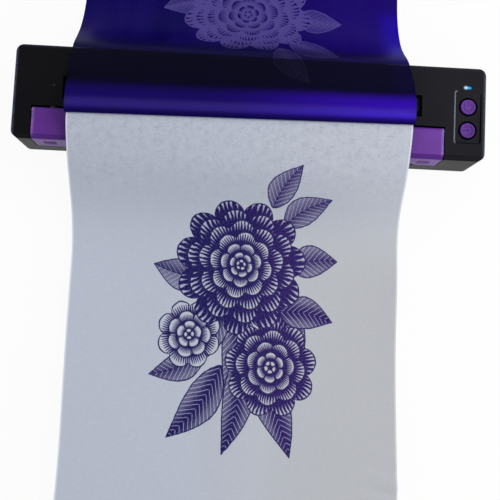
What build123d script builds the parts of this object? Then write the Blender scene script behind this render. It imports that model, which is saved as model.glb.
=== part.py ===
from build123d import *
import math
import os

os.makedirs("parts", exist_ok=True)

# Frame: +X to the button end, -Y to the front, +Z up, origin at the middle of
# the footprint on the surface that the rubber feet stand on. Millimetres.

# Shell
FOOT_H = 1.5
SEAM_RISE = 16.0
WALL = 2.0
FLOOR_T = 2.0
TOP_T = 2.0
CORNER_R = 5.0
TOP_EDGE_R = 1.0
BOTTOM_EDGE_R = 2.0
BEVEL_Y = 2.8
BEVEL_Z = 3.0

# Sheets
SHEET_W = 222.0
SHEET_T = 0.2
SHEET_GAP = 0.05
NIP_GAP = 0.3
SHEET_START_DROP = 1.4
CURL_H = 11.8
CURL_START = 11.0
CURL_FULL = 94.0

# Cover along the front
LEFT_BLOCK_L = 13.0
RIGHT_BLOCK_L = 27.5
COVER_SIDE_GAP = 0.7
COVER_T = 2.0
COVER_SEAM_GAP = 0.5
INLET_H = 2.5
HINGE_INSET = 18.8
HINGE_DROP = 2.0
BARREL_R = 2.0
BRIDGE_GAP = 0.9
PIN_D = 1.6
PIN_L = 5.5
PIN_FIT = 0.02
RUN_FIT = 0.10
BAY_WALL = 2.0
BAY_WALL_LAP = 4.0
GRIP_L = 8.0
GRIP_W = 1.0
GRIP_STEP = 2.4
GRIP_PROUD = 0.3
GRIP_RISE = 6.0
GRIPS = 3
CHEEK_INSET = 0.5
CHEEK_FOOT_L = 8.0
CHEEK_KNEE_L = 12.0
CHEEK_KNEE_H = 10.0
FRAME_T = 2.0
WEBS = 9
WEB_T = 1.5
UPPER_GUIDE_T = 1.5
UPPER_GUIDE_LIFT = 0.6

# Exit recess in the top
RECESS_MARGIN = 6.85
RECESS_LEAD = 2.825
RECESS_BACK = 1.0
RECESS_WALL = 1.5
RECESS_WALL_LAP = 0.5
RECESS_DEPTH = 6.0
RECESS_FLOOR_T = 1.4
RECESS_THROAT = 4.6

# Button pad
PAD_L = 34.9
PAD_W = 17.7
PAD_END = 3.0
PAD_INSET = 11.1
PAD_R = 2.0
PAD_FRONT_DEPTH = 1.0
PAD_REAR_DEPTH = 0.15
BUTTON_D = 9.8
BUTTON_GAP = 0.5
BUTTON_END = 11.8
POWER_INSET = 24.6
BUTTON_STEP = 15.7
BUTTON_PROUD = 0.5
BUTTON_FLANGE = 1.0
BUTTON_FLANGE_T = 1.4
BUTTON_TRAVEL = 0.5
BUTTON_RIM = 1.0
BUTTON_DISH = 0.4
BUTTON_EDGE_R = 0.3
STEM_D = 3.2
LAMP_END = 12.4
LAMP_STEP = 2.6
LAMP_L = 5.6
LAMP_W = 3.0
LAMP_FLANGE = 1.0
LAMP_FLANGE_T = 1.2
LED_L = 3.2
LED_W = 1.6
LED_T = 0.8
SEAT_GAP = 0.3
SLIP_GAP = 0.1

# Roller and drive
PLATEN_BACK = 4.6
PLATEN_RISE = 8.5
PLATEN_D = 13.0
PLATEN_EDGE = 0.5
SHAFT_D = 4.0
SHAFT_END = 1.0
PLATEN_OVER = 0.35
ARM_T = 2.8
ARM_GAP = 1.0
ARM_OFFSET = 5.3
ARM_BOSS_R = 4.6
BUSH_D = 6.0
BUSH_FLANGE_D = 7.6
BUSH_FLANGE_T = 0.8
GEAR_GAP = 0.6
GEAR_W = 4.0
MODULE = 0.5
PLATEN_TEETH = 30
SMALL_TEETH = 16
LARGE_TEETH = 36
PINION_TEETH = 12
MESH_SLACK = 0.05
BACKLASH = 0.14
MESH_RISE = 2.5
LARGE_W = 3.0
HUB_W = 2.0
STUD_D = 2.0
STUD_HEAD_T = 0.8
MOTOR_D = 20.0
MOTOR_L = 13.5
MOTOR_DROP = 4.07
MOTOR_BACK = 4.0
MOTOR_SHAFT_D = 1.5
MOTOR_BOSS_D = 5.0
MOTOR_EAR = 12.5
MOTOR_EAR_R = 3.0
MOTOR_EAR_T = 1.0
EAR_RIM = 0.8
MOTOR_SIDE_GAP = 1.0
PLATE_T = 1.0
PLATE_GAP = 0.5

# Print head
CERAMIC_T = 1.0
CERAMIC_END = 3.0
HEAD_RISE = 8.5
HEAD_H = 21.5
HEAD_TOP_GAP = 1.5
DRIVER_T = 0.8
DRIVER_H = 4.7
DRIVER_END = 6.0
SINK_T = 4.0
GROOVE = 1.5
BRACKET_T = 1.0
BRACKET_SIDE = 2.0
EAR_T = 1.0
HEAD_PIVOT_RISE = 4.5
HEAD_PIVOT_BACK = 4.0
HEAD_PIN_D = 3.0
PIN_PROUD = 0.5
SPRING_SPACE = 6.05
SPRING_STEP = 65.0
SPRING_D = 5.4
SPRING_WIRE = 0.6
SPRING_TURNS = 4
SPRING_FIT = 0.05
CHASSIS_SIDE = 6.0
CHASSIS_TOP_GAP = 0.4
FLANGE_RISE = 7.0

# Lower paper guide
GUIDE_CLEAR = 1.8
GUIDE_T = 1.6
GUIDE_SIDE = 4.5
GUIDE_RIBS = 7
GUIDE_RIB_T = 2.0
SENSOR_L = 6.0
SENSOR_W = 4.4
SENSOR_T = 2.0
SENSOR_INSET = 10.0
SENSOR_SIDE = 45.0
SENSOR_WINDOW = 3.2

# Board and battery
BOARD_DROP = 11.0
BOARD_T = 1.6
BOARD_L = 36.7
BOARD_W = 43.0
BOARD_GAP = 1.5
BOARD_END_GAP = 0.8
BOARD_INSET = 9.0
BOARD_NECK = 18.0
BOARD_POST_R = 2.2
SWITCH_S = 6.0
SWITCH_H = 3.5
SWITCH_FLOOR = 1.0
PLUNGER_PROUD = 0.8
CELL_L = 92.0
CELL_D = 11.0
CELL_H = 29.0
CELL_R = 2.0
CELL_INSET = 10.35
CELL_GAP = 4.0
TRAY_T = 1.2
TRAY_WALL_H = 8.0
TRAY_GAP = 0.3
TRAY_BACK_GAP = 0.7
REAR_GAP = 1.3
USB_L = 7.4
USB_W = 9.0
USB_H = 3.2
USB_T = 0.3
USB_GAP = 0.25
USB_INSET = 0.4
TONGUE_T = 0.7
TONGUE_W = 6.6
LEAD_D = 1.8
LEAD_GAP = 0.2
PLUG_H = 4.8
PLUG_W = 6.0
RIBBON_W = 8.6
RIBBON_T = 0.3

# Fasteners
SCREW_D = 2.6
SCREW_HEAD_D = 5.0
SCREW_HEAD_T = 1.6
SCREW_L = 13.0
SCREW_CLEAR = 0.3
SCREW_SLOT = 3.2
SCREW_SLOT_W = 0.6
BOSS_R = 3.2
BOSS_RISE = 5.5
TOP_BOSS_R = 3.0
END_BOSS = 6.0
SIDE_BOSS = 14.0
SMALL_SCREW_D = 2.0
SMALL_HEAD_D = 3.6
SMALL_HEAD_T = 1.2
SMALL_SCREW_BITE = 5.0
FOOT_D = 9.0
FOOT_END = 15.0
FOOT_SIDE = 9.0
RIB_H = 4.0
RIB_L = 8.0

# Length: the sheet's width with the drive at its left and the board at its right
LEFT_END_L = (
    PLATEN_OVER + ARM_GAP + 2 * BUSH_FLANGE_T + ARM_OFFSET + ARM_T + GEAR_GAP + GEAR_W + HUB_W + LARGE_W
    + PLATE_GAP + PLATE_T + MOTOR_L + MOTOR_SIDE_GAP + WALL
)
RIGHT_END_L = RECESS_MARGIN + RECESS_WALL + BOARD_GAP + BOARD_L + BOARD_END_GAP + WALL
BODY_L = LEFT_END_L + SHEET_W + RIGHT_END_L
END_X = BODY_L / 2
SHEET_X0 = -END_X + LEFT_END_L
SHEET_X1 = END_X - RIGHT_END_L

# Depth: roller, nip, head, springs, chassis plate and power cells, front to rear
PLATEN_INSET = HINGE_INSET + PLATEN_BACK
HEAD_INSET = PLATEN_INSET + PLATEN_D / 2 + 2 * NIP_GAP + 2 * SHEET_T + SHEET_GAP
CHASSIS_INSET = HEAD_INSET + CERAMIC_T + SINK_T + BRACKET_T + SPRING_SPACE
BODY_D = (
    CHASSIS_INSET + PLATE_T + TRAY_BACK_GAP + 2 * TRAY_T + 2 * TRAY_GAP + CELL_D + REAR_GAP + WALL
)
FRONT_Y = -BODY_D / 2
REAR_Y = BODY_D / 2

# Height: floor, head and recess
INSIDE_Z = FOOT_H + FLOOR_T
SEAM_Z = FOOT_H + SEAM_RISE
HEAD_Z0 = INSIDE_Z + HEAD_RISE
HEAD_Z1 = HEAD_Z0 + HEAD_H
RECESS_FLOOR_Z = HEAD_Z1 + HEAD_TOP_GAP
BODY_TOP = RECESS_FLOOR_Z + RECESS_DEPTH
PLATE_Z = BODY_TOP - TOP_T

# Derived places
COVER_X0 = -END_X + LEFT_BLOCK_L
COVER_X1 = END_X - RIGHT_BLOCK_L
COVER_BOTTOM = SEAM_Z + COVER_SEAM_GAP
INLET_Z = COVER_BOTTOM + INLET_H
HINGE_Y = FRONT_Y + HINGE_INSET
HINGE_Z = BODY_TOP - HINGE_DROP
BRIDGE_Y = HINGE_Y + BARREL_R + BRIDGE_GAP
BAY_X0 = COVER_X0 - COVER_SIDE_GAP
BAY_X1 = COVER_X1 + COVER_SIDE_GAP
PLATEN_X0 = SHEET_X0 - PLATEN_OVER
PLATEN_X1 = SHEET_X1 + PLATEN_OVER
PLATEN_Y = FRONT_Y + PLATEN_INSET
PLATEN_Z = SEAM_Z + PLATEN_RISE
HEAD_Y = FRONT_Y + HEAD_INSET
NIP_Y = HEAD_Y - NIP_GAP - SHEET_T - SHEET_GAP / 2
SINK_Y = HEAD_Y + CERAMIC_T
BRACKET_Y = SINK_Y + SINK_T
SPRING_Y = BRACKET_Y + BRACKET_T
CHASSIS_Y = FRONT_Y + CHASSIS_INSET
RECESS_X0 = SHEET_X0 - RECESS_MARGIN
RECESS_X1 = SHEET_X1 + RECESS_MARGIN
RECESS_Y0 = NIP_Y - RECESS_LEAD
RECESS_Y1 = CHASSIS_Y - RECESS_BACK
RECESS_WALL_Z = HEAD_Z1 - RECESS_WALL_LAP
CERAMIC_X0 = PLATEN_X0 + CERAMIC_END
CERAMIC_X1 = PLATEN_X1 - CERAMIC_END
HEAD_PIVOT_Y = CHASSIS_Y - HEAD_PIVOT_BACK
HEAD_PIVOT_Z = INSIDE_Z + HEAD_PIVOT_RISE
CHASSIS_X0 = PLATEN_X0 - CHASSIS_SIDE
CHASSIS_X1 = PLATEN_X1 + CHASSIS_SIDE
CHASSIS_TOP = RECESS_WALL_Z - CHASSIS_TOP_GAP
SHEET_X = (SHEET_X0 + SHEET_X1) / 2
SPRING_XS = [SHEET_X + SPRING_STEP * k for k in (-1, 0, 1)]
LEFT_ARM_X = PLATEN_X0 - ARM_GAP - BUSH_FLANGE_T - ARM_OFFSET - ARM_T
RIGHT_ARM_X = PLATEN_X1 + ARM_GAP + BUSH_FLANGE_T
PGEAR_X = LEFT_ARM_X - GEAR_GAP - BUSH_FLANGE_T - GEAR_W
PLATEN_PR = MODULE * PLATEN_TEETH / 2
SMALL_PR = MODULE * SMALL_TEETH / 2
LARGE_PR = MODULE * LARGE_TEETH / 2
PINION_PR = MODULE * PINION_TEETH / 2
MESH_1 = PLATEN_PR + SMALL_PR + MESH_SLACK
STUD_Y = PLATEN_Y + math.sqrt(MESH_1**2 - MESH_RISE**2)
STUD_Z = PLATEN_Z + MESH_RISE
MESH_2 = LARGE_PR + PINION_PR + MESH_SLACK
MOTOR_Y = STUD_Y + math.sqrt(MESH_2**2 - MOTOR_DROP**2)
MOTOR_Z = STUD_Z - MOTOR_DROP
LARGE_X = PGEAR_X - HUB_W - LARGE_W
GPLATE_X = LARGE_X - PLATE_GAP - PLATE_T
MOTOR_X = GPLATE_X - MOTOR_L
PAD_X1 = END_X - PAD_END
PAD_X0 = PAD_X1 - PAD_W
PAD_Y0 = FRONT_Y + PAD_INSET
PAD_Y1 = PAD_Y0 + PAD_L
BUTTON_X = END_X - BUTTON_END
POWER_Y = PAD_Y0 + POWER_INSET
FEED_Y = POWER_Y - BUTTON_STEP
LAMP_X = END_X - LAMP_END
LAMP_Y = PAD_Y1 + LAMP_STEP
BOARD_Z = BODY_TOP - BOARD_DROP - BOARD_T
BOARD_TOP = BODY_TOP - BOARD_DROP
BOARD_X0 = RECESS_X1 + RECESS_WALL + BOARD_GAP
BOARD_X1 = BOARD_X0 + BOARD_L
BOARD_NECK_X = BAY_X1 + BAY_WALL + SEAT_GAP
BOARD_Y0 = FRONT_Y + BOARD_INSET
BOARD_MID_Y = BOARD_Y0 + BOARD_NECK
BOARD_Y1 = BOARD_Y0 + BOARD_W
BOARD_SCREW_Y = BOARD_Y1 - BOARD_POST_R - SEAT_GAP
BOARD_SCREWS = [
    (BOARD_X1 - BOARD_POST_R - SEAT_GAP, BOARD_SCREW_Y),
    (LAMP_X - LAMP_L / 2 - LAMP_FLANGE - BOARD_POST_R - 2 * BOARD_END_GAP, BOARD_SCREW_Y),
    (BOARD_NECK_X + BOARD_POST_R + BOARD_GAP, BOARD_Y0 + BOARD_POST_R + BOARD_GAP),
]
USB_Y = (POWER_Y + FEED_Y) / 2
CELL_X0 = SHEET_X0 + CELL_INSET
CELL_X1 = CELL_X0 + 2 * CELL_L + CELL_GAP
CELL_Y0 = CHASSIS_Y + PLATE_T + TRAY_BACK_GAP + TRAY_T + TRAY_GAP
CELL_Z = INSIDE_Z + TRAY_T
BOSS_TOP = INSIDE_Z + BOSS_RISE
BODY_SCREWS = [
    (-END_X + END_BOSS, FRONT_Y + END_BOSS),
    (END_X - END_BOSS, FRONT_Y + END_BOSS),
    (END_X - END_BOSS, REAR_Y - END_BOSS),
    (CELL_X0 - SIDE_BOSS, REAR_Y - END_BOSS),
    (CELL_X1 + SIDE_BOSS, REAR_Y - END_BOSS),
]
FOOT_SPOTS = [(i * (END_X - FOOT_END), j * (REAR_Y - FOOT_SIDE)) for i in (-1, 1) for j in (-1, 1)]


def put(piece, name):
    """Label a finished piece and write its file."""
    piece.part.label = name
    export_step(piece.part, f"parts/{name}.step")


def block(x0, x1, y0, y1, z0, z1, mode=Mode.ADD):
    """A box between six planes."""
    with BuildSketch(Plane.XY.offset(z0)) as outline:
        with Locations(((x0 + x1) / 2, (y0 + y1) / 2)):
            Rectangle(x1 - x0, y1 - y0)
    extrude(outline.sketch, amount=z1 - z0, mode=mode)


def rod(x0, x1, y, z, diameter, mode=Mode.ADD):
    """A round bar along X."""
    with BuildSketch(Plane.YZ.offset(x0)) as outline:
        with Locations((y, z)):
            Circle(diameter / 2)
    extrude(outline.sketch, amount=x1 - x0, mode=mode)


def post(x, y, z0, z1, diameter, mode=Mode.ADD):
    """A round post along Z."""
    with BuildSketch(Plane.XY.offset(z0)) as outline:
        with Locations((x, y)):
            Circle(diameter / 2)
    extrude(outline.sketch, amount=z1 - z0, mode=mode)


def slab(x0, x1, points, mode=Mode.ADD):
    """A section in Y and Z, run along X."""
    with BuildSketch(Plane.YZ.offset(x0)) as outline:
        with BuildLine():
            Polyline(*points, close=True)
        make_face()
    extrude(outline.sketch, amount=x1 - x0, mode=mode)


def gear_points(teeth, phase, y, z):
    """Involute outline of a gear, one tooth centred at the phase angle."""
    pitch_r = MODULE * teeth / 2
    base_r = pitch_r * math.cos(math.radians(20))
    tip_r = pitch_r + 0.9 * MODULE
    root_r = pitch_r - 1.1 * MODULE
    inv = math.tan(math.radians(20)) - math.radians(20)
    half = (math.pi * MODULE / 2 - BACKLASH / 2) / (2 * pitch_r)
    start_r = max(base_r, root_r)
    radii = [start_r + (tip_r - start_r) * k / 4 for k in range(5)]
    flank = [(root_r, half + inv)] if root_r < base_r else []
    for r in radii:
        a = math.acos(min(1.0, base_r / r))
        flank.append((r, half + inv - (math.tan(a) - a)))
    outline = []
    for n in range(teeth):
        centre = math.radians(phase) + 2 * math.pi * n / teeth
        side = [(r, centre - a) for r, a in flank] + [(r, centre + a) for r, a in reversed(flank)]
        outline += [(y + r * math.cos(t), z + r * math.sin(t)) for r, t in side]
    return outline


def curve(points, step):
    """Points along a smooth curve through the given points."""
    ends = [points[0]] + list(points) + [points[-1]]
    out = [points[0]]
    for k in range(1, len(ends) - 2):
        a, b, c, d = ends[k - 1], ends[k], ends[k + 1], ends[k + 2]
        n = max(1, round(math.dist(b, c) / step))
        for m in range(1, n + 1):
            t = m / n
            out.append(
                tuple(
                    0.5 * (2 * b[i] + (c[i] - a[i]) * t + (2 * a[i] - 5 * b[i] + 4 * c[i] - d[i]) * t**2
                           + (3 * b[i] - a[i] - 3 * c[i] + d[i]) * t**3)
                    for i in (0, 1)
                )
            )
    return out


def offset_path(path, distance):
    """The path moved sideways, to the left of its direction."""
    out = []
    for k, (y, z) in enumerate(path):
        y0, z0 = path[max(0, k - 1)]
        y1, z1 = path[min(len(path) - 1, k + 1)]
        run = math.hypot(y1 - y0, z1 - z0)
        out.append((y - (z1 - z0) / run * distance, z + (y1 - y0) / run * distance))
    return out


def ribbon(path):
    """Closed outline of a thin sheet that follows the path."""
    return offset_path(path, SHEET_T / 2) + list(reversed(offset_path(path, -SHEET_T / 2)))


# Bottom housing: tray with a floor, bosses for the body screws and slots for
# the steel plates.
with BuildPart() as bottom_housing:
    with BuildSketch(Plane.XY.offset(FOOT_H)):
        RectangleRounded(BODY_L, BODY_D, CORNER_R)
    extrude(amount=SEAM_Z - FOOT_H)
    fillet(bottom_housing.faces().sort_by(Axis.Z)[0].edges(), radius=BOTTOM_EDGE_R)
    with BuildSketch(Plane.XY.offset(INSIDE_Z)):
        RectangleRounded(BODY_L - 2 * WALL, BODY_D - 2 * WALL, CORNER_R - WALL)
    extrude(amount=SEAM_Z - INSIDE_Z, mode=Mode.SUBTRACT)
    for x, y in BODY_SCREWS:
        post(x, y, INSIDE_Z - FLOOR_T / 2, BOSS_TOP, 2 * BOSS_R)
    for x, y in BODY_SCREWS:
        post(x, y, FOOT_H, BOSS_TOP, SCREW_D + SCREW_CLEAR, Mode.SUBTRACT)
        post(x, y, FOOT_H, FOOT_H + SCREW_HEAD_T + SCREW_CLEAR, SCREW_HEAD_D + SCREW_CLEAR, Mode.SUBTRACT)
    for x0 in (GPLATE_X - SLIP_GAP - WALL, GPLATE_X + PLATE_T + SLIP_GAP):
        block(x0, x0 + WALL, MOTOR_Y - RIB_L / 2, MOTOR_Y + RIB_L / 2, INSIDE_Z - FLOOR_T / 2, INSIDE_Z + RIB_H)
put(bottom_housing, "bottom_housing")

# Top housing: shell with the cover bay, the exit recess and the button pad.
with BuildPart() as top_housing:
    with BuildSketch(Plane.XY.offset(SEAM_Z)):
        RectangleRounded(BODY_L, BODY_D, CORNER_R)
    extrude(amount=BODY_TOP - SEAM_Z)
    fillet(top_housing.faces().sort_by(Axis.Z)[-1].edges(), radius=TOP_EDGE_R)
    slab(
        -END_X - 1,
        END_X + 1,
        [
            (FRONT_Y - BEVEL_Y, BODY_TOP - 2 * BEVEL_Z),
            (FRONT_Y + 2 * BEVEL_Y, BODY_TOP + BEVEL_Z),
            (FRONT_Y - BEVEL_Y, BODY_TOP + BEVEL_Z),
        ],
        Mode.SUBTRACT,
    )
    with BuildSketch(Plane.XY.offset(SEAM_Z)):
        RectangleRounded(BODY_L - 2 * WALL, BODY_D - 2 * WALL, CORNER_R - WALL)
    extrude(amount=PLATE_Z - SEAM_Z, mode=Mode.SUBTRACT)
    block(BAY_X0, BAY_X1, FRONT_Y - 1, BRIDGE_Y, SEAM_Z, BODY_TOP + 1, Mode.SUBTRACT)
    for x0 in (BAY_X0 - BAY_WALL, BAY_X1):
        block(x0, x0 + BAY_WALL, FRONT_Y + WALL, BRIDGE_Y + BAY_WALL_LAP, SEAM_Z, PLATE_Z)
    block(
        RECESS_X0 - RECESS_WALL,
        RECESS_X1 + RECESS_WALL,
        RECESS_Y0 - RECESS_WALL,
        RECESS_Y1 + RECESS_WALL,
        RECESS_WALL_Z,
        PLATE_Z,
    )
    block(RECESS_X0, RECESS_X1, RECESS_Y0, RECESS_Y1, RECESS_WALL_Z, BODY_TOP, Mode.SUBTRACT)
    block(
        RECESS_X0,
        RECESS_X1,
        RECESS_Y0 + RECESS_THROAT,
        RECESS_Y1,
        RECESS_FLOOR_Z,
        RECESS_FLOOR_Z + RECESS_FLOOR_T,
    )
    for x, y in BODY_SCREWS:
        post(x, y, BOSS_TOP + SLIP_GAP, PLATE_Z, 2 * TOP_BOSS_R)
        post(x, y, BOSS_TOP + SLIP_GAP, FOOT_H + SCREW_HEAD_T + SCREW_L, SCREW_D + PIN_FIT, Mode.SUBTRACT)
    for x, y in BOARD_SCREWS:
        post(x, y, BOARD_TOP, PLATE_Z, 2 * BOARD_POST_R)
        post(x, y, BOARD_TOP, BOARD_TOP + SMALL_SCREW_BITE + 1.0, SMALL_SCREW_D + PIN_FIT, Mode.SUBTRACT)
    with BuildSketch(Plane.XY.offset(BODY_TOP - PAD_FRONT_DEPTH)):
        with Locations(((PAD_X0 + PAD_X1) / 2, (PAD_Y0 + PAD_Y1) / 2)):
            RectangleRounded(PAD_X1 - PAD_X0, PAD_Y1 - PAD_Y0, PAD_R)
    extrude(amount=PAD_FRONT_DEPTH, mode=Mode.SUBTRACT)
    slab(
        PAD_X0 - SLIP_GAP,
        PAD_X1 + SLIP_GAP,
        [
            (PAD_Y0, BODY_TOP - PAD_FRONT_DEPTH),
            (PAD_Y0, BODY_TOP - PAD_FRONT_DEPTH - SLIP_GAP),
            (PAD_Y1 + SLIP_GAP, BODY_TOP - PAD_FRONT_DEPTH - SLIP_GAP),
            (PAD_Y1 + SLIP_GAP, BODY_TOP - PAD_REAR_DEPTH),
            (PAD_Y1, BODY_TOP - PAD_REAR_DEPTH),
        ],
    )
    for y in (POWER_Y, FEED_Y):
        post(BUTTON_X, y, PLATE_Z, BODY_TOP, BUTTON_D + 2 * BUTTON_GAP, Mode.SUBTRACT)
    with BuildSketch(Plane.XY.offset(PLATE_Z)):
        with Locations((LAMP_X, LAMP_Y)):
            RectangleRounded(LAMP_L + 2 * SLIP_GAP, LAMP_W + 2 * SLIP_GAP, LAMP_W / 2)
    extrude(amount=TOP_T, mode=Mode.SUBTRACT)
    with BuildSketch(Plane.YZ.offset(END_X - WALL)):
        with Locations((USB_Y, BOARD_TOP + USB_H / 2)):
            RectangleRounded(USB_W + 2 * USB_GAP, USB_H + 2 * USB_GAP, USB_H / 2)
    extrude(amount=WALL, mode=Mode.SUBTRACT)
    rod(BAY_X0 - BAY_WALL, BAY_X0, HINGE_Y, HINGE_Z, PIN_D + PIN_FIT, Mode.SUBTRACT)
    rod(BAY_X1, BAY_X1 + BAY_WALL, HINGE_Y, HINGE_Z, PIN_D + PIN_FIT, Mode.SUBTRACT)
put(top_housing, "top_housing")

# Rubber feet, stuck on the floor's underside.
with BuildPart() as rubber_feet:
    for x, y in FOOT_SPOTS:
        post(x, y, 0.0, FOOT_H, FOOT_D)
put(rubber_feet, "rubber_feet")

# Body screws, driven from below through the floor into the upper bosses.
with BuildPart() as housing_screws:
    for x, y in BODY_SCREWS:
        post(x, y, FOOT_H + SCREW_CLEAR, FOOT_H + SCREW_CLEAR + SCREW_HEAD_T, SCREW_HEAD_D)
        post(x, y, FOOT_H + SCREW_CLEAR, FOOT_H + SCREW_L, SCREW_D)
        for a, b in ((SCREW_SLOT / 2, SCREW_SLOT_W / 2), (SCREW_SLOT_W / 2, SCREW_SLOT / 2)):
            block(x - a, x + a, y - b, y + b, FOOT_H, FOOT_H + SCREW_CLEAR + SCREW_SLOT_W, Mode.SUBTRACT)
put(housing_screws, "housing_screws")

# Cover shell: top, front skirt with its bevel, end walls and the hinge barrel.
BEVEL_TOP_Y = FRONT_Y + BEVEL_Y
BEVEL_LOW_Z = BODY_TOP - BEVEL_Z
COVER_UNDER = BODY_TOP - COVER_T
with BuildPart() as cover_shell:
    slab(
        COVER_X0,
        COVER_X1,
        [
            (FRONT_Y, COVER_BOTTOM),
            (FRONT_Y, BEVEL_LOW_Z),
            (BEVEL_TOP_Y, BODY_TOP),
            (HINGE_Y, BODY_TOP),
            (HINGE_Y, COVER_UNDER),
            (FRONT_Y + COVER_T + BEVEL_Y, COVER_UNDER),
            (FRONT_Y + COVER_T, COVER_UNDER - BEVEL_Z),
            (FRONT_Y + COVER_T, COVER_BOTTOM),
        ],
    )
    rod(COVER_X0, COVER_X1, HINGE_Y, HINGE_Z, 2 * BARREL_R)
    for x0 in (COVER_X0, COVER_X1 - COVER_T):
        slab(
            x0,
            x0 + COVER_T,
            [
                (FRONT_Y + CHEEK_INSET, COVER_BOTTOM),
                (FRONT_Y + CHEEK_INSET, BEVEL_LOW_Z - CHEEK_INSET),
                (BEVEL_TOP_Y + CHEEK_INSET, BODY_TOP - CHEEK_INSET),
                (HINGE_Y, BODY_TOP - CHEEK_INSET),
                (HINGE_Y, HINGE_Z - BARREL_R / 2),
                (FRONT_Y + CHEEK_KNEE_L, COVER_BOTTOM + CHEEK_KNEE_H),
                (FRONT_Y + CHEEK_FOOT_L, COVER_BOTTOM),
            ],
        )
    block(
        RECESS_X0,
        RECESS_X1,
        FRONT_Y - 1,
        FRONT_Y + COVER_T + 1,
        COVER_BOTTOM - 1,
        INLET_Z,
        Mode.SUBTRACT,
    )
    for x in (COVER_X0 + GRIP_L * 3 / 4, COVER_X1 - GRIP_L * 7 / 4):
        for k in range(GRIPS):
            z = COVER_BOTTOM + GRIP_RISE + GRIP_STEP * k
            block(x, x + GRIP_L, FRONT_Y - GRIP_PROUD, FRONT_Y + COVER_T / 2, z, z + GRIP_W)
    rod(COVER_X0, COVER_X0 + PIN_L + PIN_PROUD, HINGE_Y, HINGE_Z, PIN_D + RUN_FIT, Mode.SUBTRACT)
    rod(COVER_X1 - PIN_L - PIN_PROUD, COVER_X1, HINGE_Y, HINGE_Z, PIN_D + RUN_FIT, Mode.SUBTRACT)
put(cover_shell, "cover_shell")

# Hinge pins, held in the bay walls.
with BuildPart() as hinge_pin_left:
    rod(BAY_X0 - BAY_WALL + LEAD_GAP, COVER_X0 + PIN_L, HINGE_Y, HINGE_Z, PIN_D)
put(hinge_pin_left, "hinge_pin_left")

with BuildPart() as hinge_pin_right:
    rod(COVER_X1 - PIN_L, BAY_X1 + BAY_WALL - LEAD_GAP, HINGE_Y, HINGE_Z, PIN_D)
put(hinge_pin_right, "hinge_pin_right")

# Cover inner frame: carries the roller under the cover and guides the sheet in.
FRAME_Y0 = FRONT_Y + COVER_T + BEVEL_Y + SEAT_GAP
FRAME_Y1 = HINGE_Y - BARREL_R - ARM_GAP
FRAME_X0 = COVER_X0 + COVER_T + SEAT_GAP
FRAME_X1 = COVER_X1 - COVER_T - SEAT_GAP
GUIDE_X0 = PLATEN_X0 - BUSH_FLANGE_T - ARM_GAP
GUIDE_X1 = PLATEN_X1 + PLATEN_EDGE
UPPER_GUIDE_Z = INLET_Z + UPPER_GUIDE_LIFT
WEB_STEP = (GUIDE_X1 - GUIDE_X0 - WEB_T) / (WEBS - 1)
COVER_SCREW_Y = (FRAME_Y0 + FRAME_Y1) / 2
COVER_SCREWS = [((FRAME_X0 + LEFT_ARM_X) / 2, COVER_SCREW_Y)]
COVER_SCREWS += [(GUIDE_X0 + WEB_T / 2 + WEB_STEP * k, COVER_SCREW_Y) for k in (1.5, 4.5, 7.5)]
with BuildPart() as cover_inner_frame:
    block(FRAME_X0, FRAME_X1, FRAME_Y0, FRAME_Y1, COVER_UNDER - FRAME_T, COVER_UNDER)
    block(GUIDE_X0, GUIDE_X1, FRAME_Y0, FRAME_Y1, UPPER_GUIDE_Z, UPPER_GUIDE_Z + UPPER_GUIDE_T)
    for k in range(WEBS):
        x = GUIDE_X0 + WEB_STEP * k
        block(x, x + WEB_T, FRAME_Y0, FRAME_Y1, UPPER_GUIDE_Z, COVER_UNDER - FRAME_T / 2)
    for x0 in (LEFT_ARM_X, RIGHT_ARM_X):
        slab(
            x0,
            x0 + ARM_T,
            [
                (FRAME_Y0 + FRAME_T, COVER_UNDER - FRAME_T / 2),
                (FRAME_Y1, COVER_UNDER - FRAME_T / 2),
                (FRAME_Y1 + ARM_GAP, PLATEN_Z + BUSH_D),
                (PLATEN_Y, PLATEN_Z + ARM_BOSS_R),
                (PLATEN_Y, PLATEN_Z - ARM_BOSS_R),
                (FRAME_Y0 + BUSH_D, PLATEN_Z - FRAME_T),
            ],
        )
        rod(x0, x0 + ARM_T, PLATEN_Y, PLATEN_Z, 2 * ARM_BOSS_R)
        rod(x0, x0 + ARM_T, PLATEN_Y, PLATEN_Z, BUSH_D + PIN_FIT, Mode.SUBTRACT)
    for x, y in COVER_SCREWS:
        post(x, y, COVER_UNDER - FRAME_T, COVER_UNDER, SMALL_SCREW_D + PIN_FIT, Mode.SUBTRACT)
put(cover_inner_frame, "cover_inner_frame")

# Cover screws, seated under the inner frame.
with BuildPart() as cover_screws:
    for x, y in COVER_SCREWS:
        post(x, y, COVER_UNDER - FRAME_T - SMALL_HEAD_T, COVER_UNDER - FRAME_T, SMALL_HEAD_D)
        post(x, y, COVER_UNDER - FRAME_T, COVER_UNDER, SMALL_SCREW_D)
put(cover_screws, "cover_screws")

# Roller bushes: flange on the inner side of each arm.
with BuildPart() as platen_bush_left:
    rod(LEFT_ARM_X, LEFT_ARM_X + ARM_T, PLATEN_Y, PLATEN_Z, BUSH_D)
    rod(LEFT_ARM_X + ARM_T, LEFT_ARM_X + ARM_T + BUSH_FLANGE_T, PLATEN_Y, PLATEN_Z, BUSH_FLANGE_D)
    rod(
        LEFT_ARM_X, LEFT_ARM_X + ARM_T + BUSH_FLANGE_T, PLATEN_Y, PLATEN_Z, SHAFT_D + RUN_FIT, Mode.SUBTRACT
    )
put(platen_bush_left, "platen_bush_left")

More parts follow.
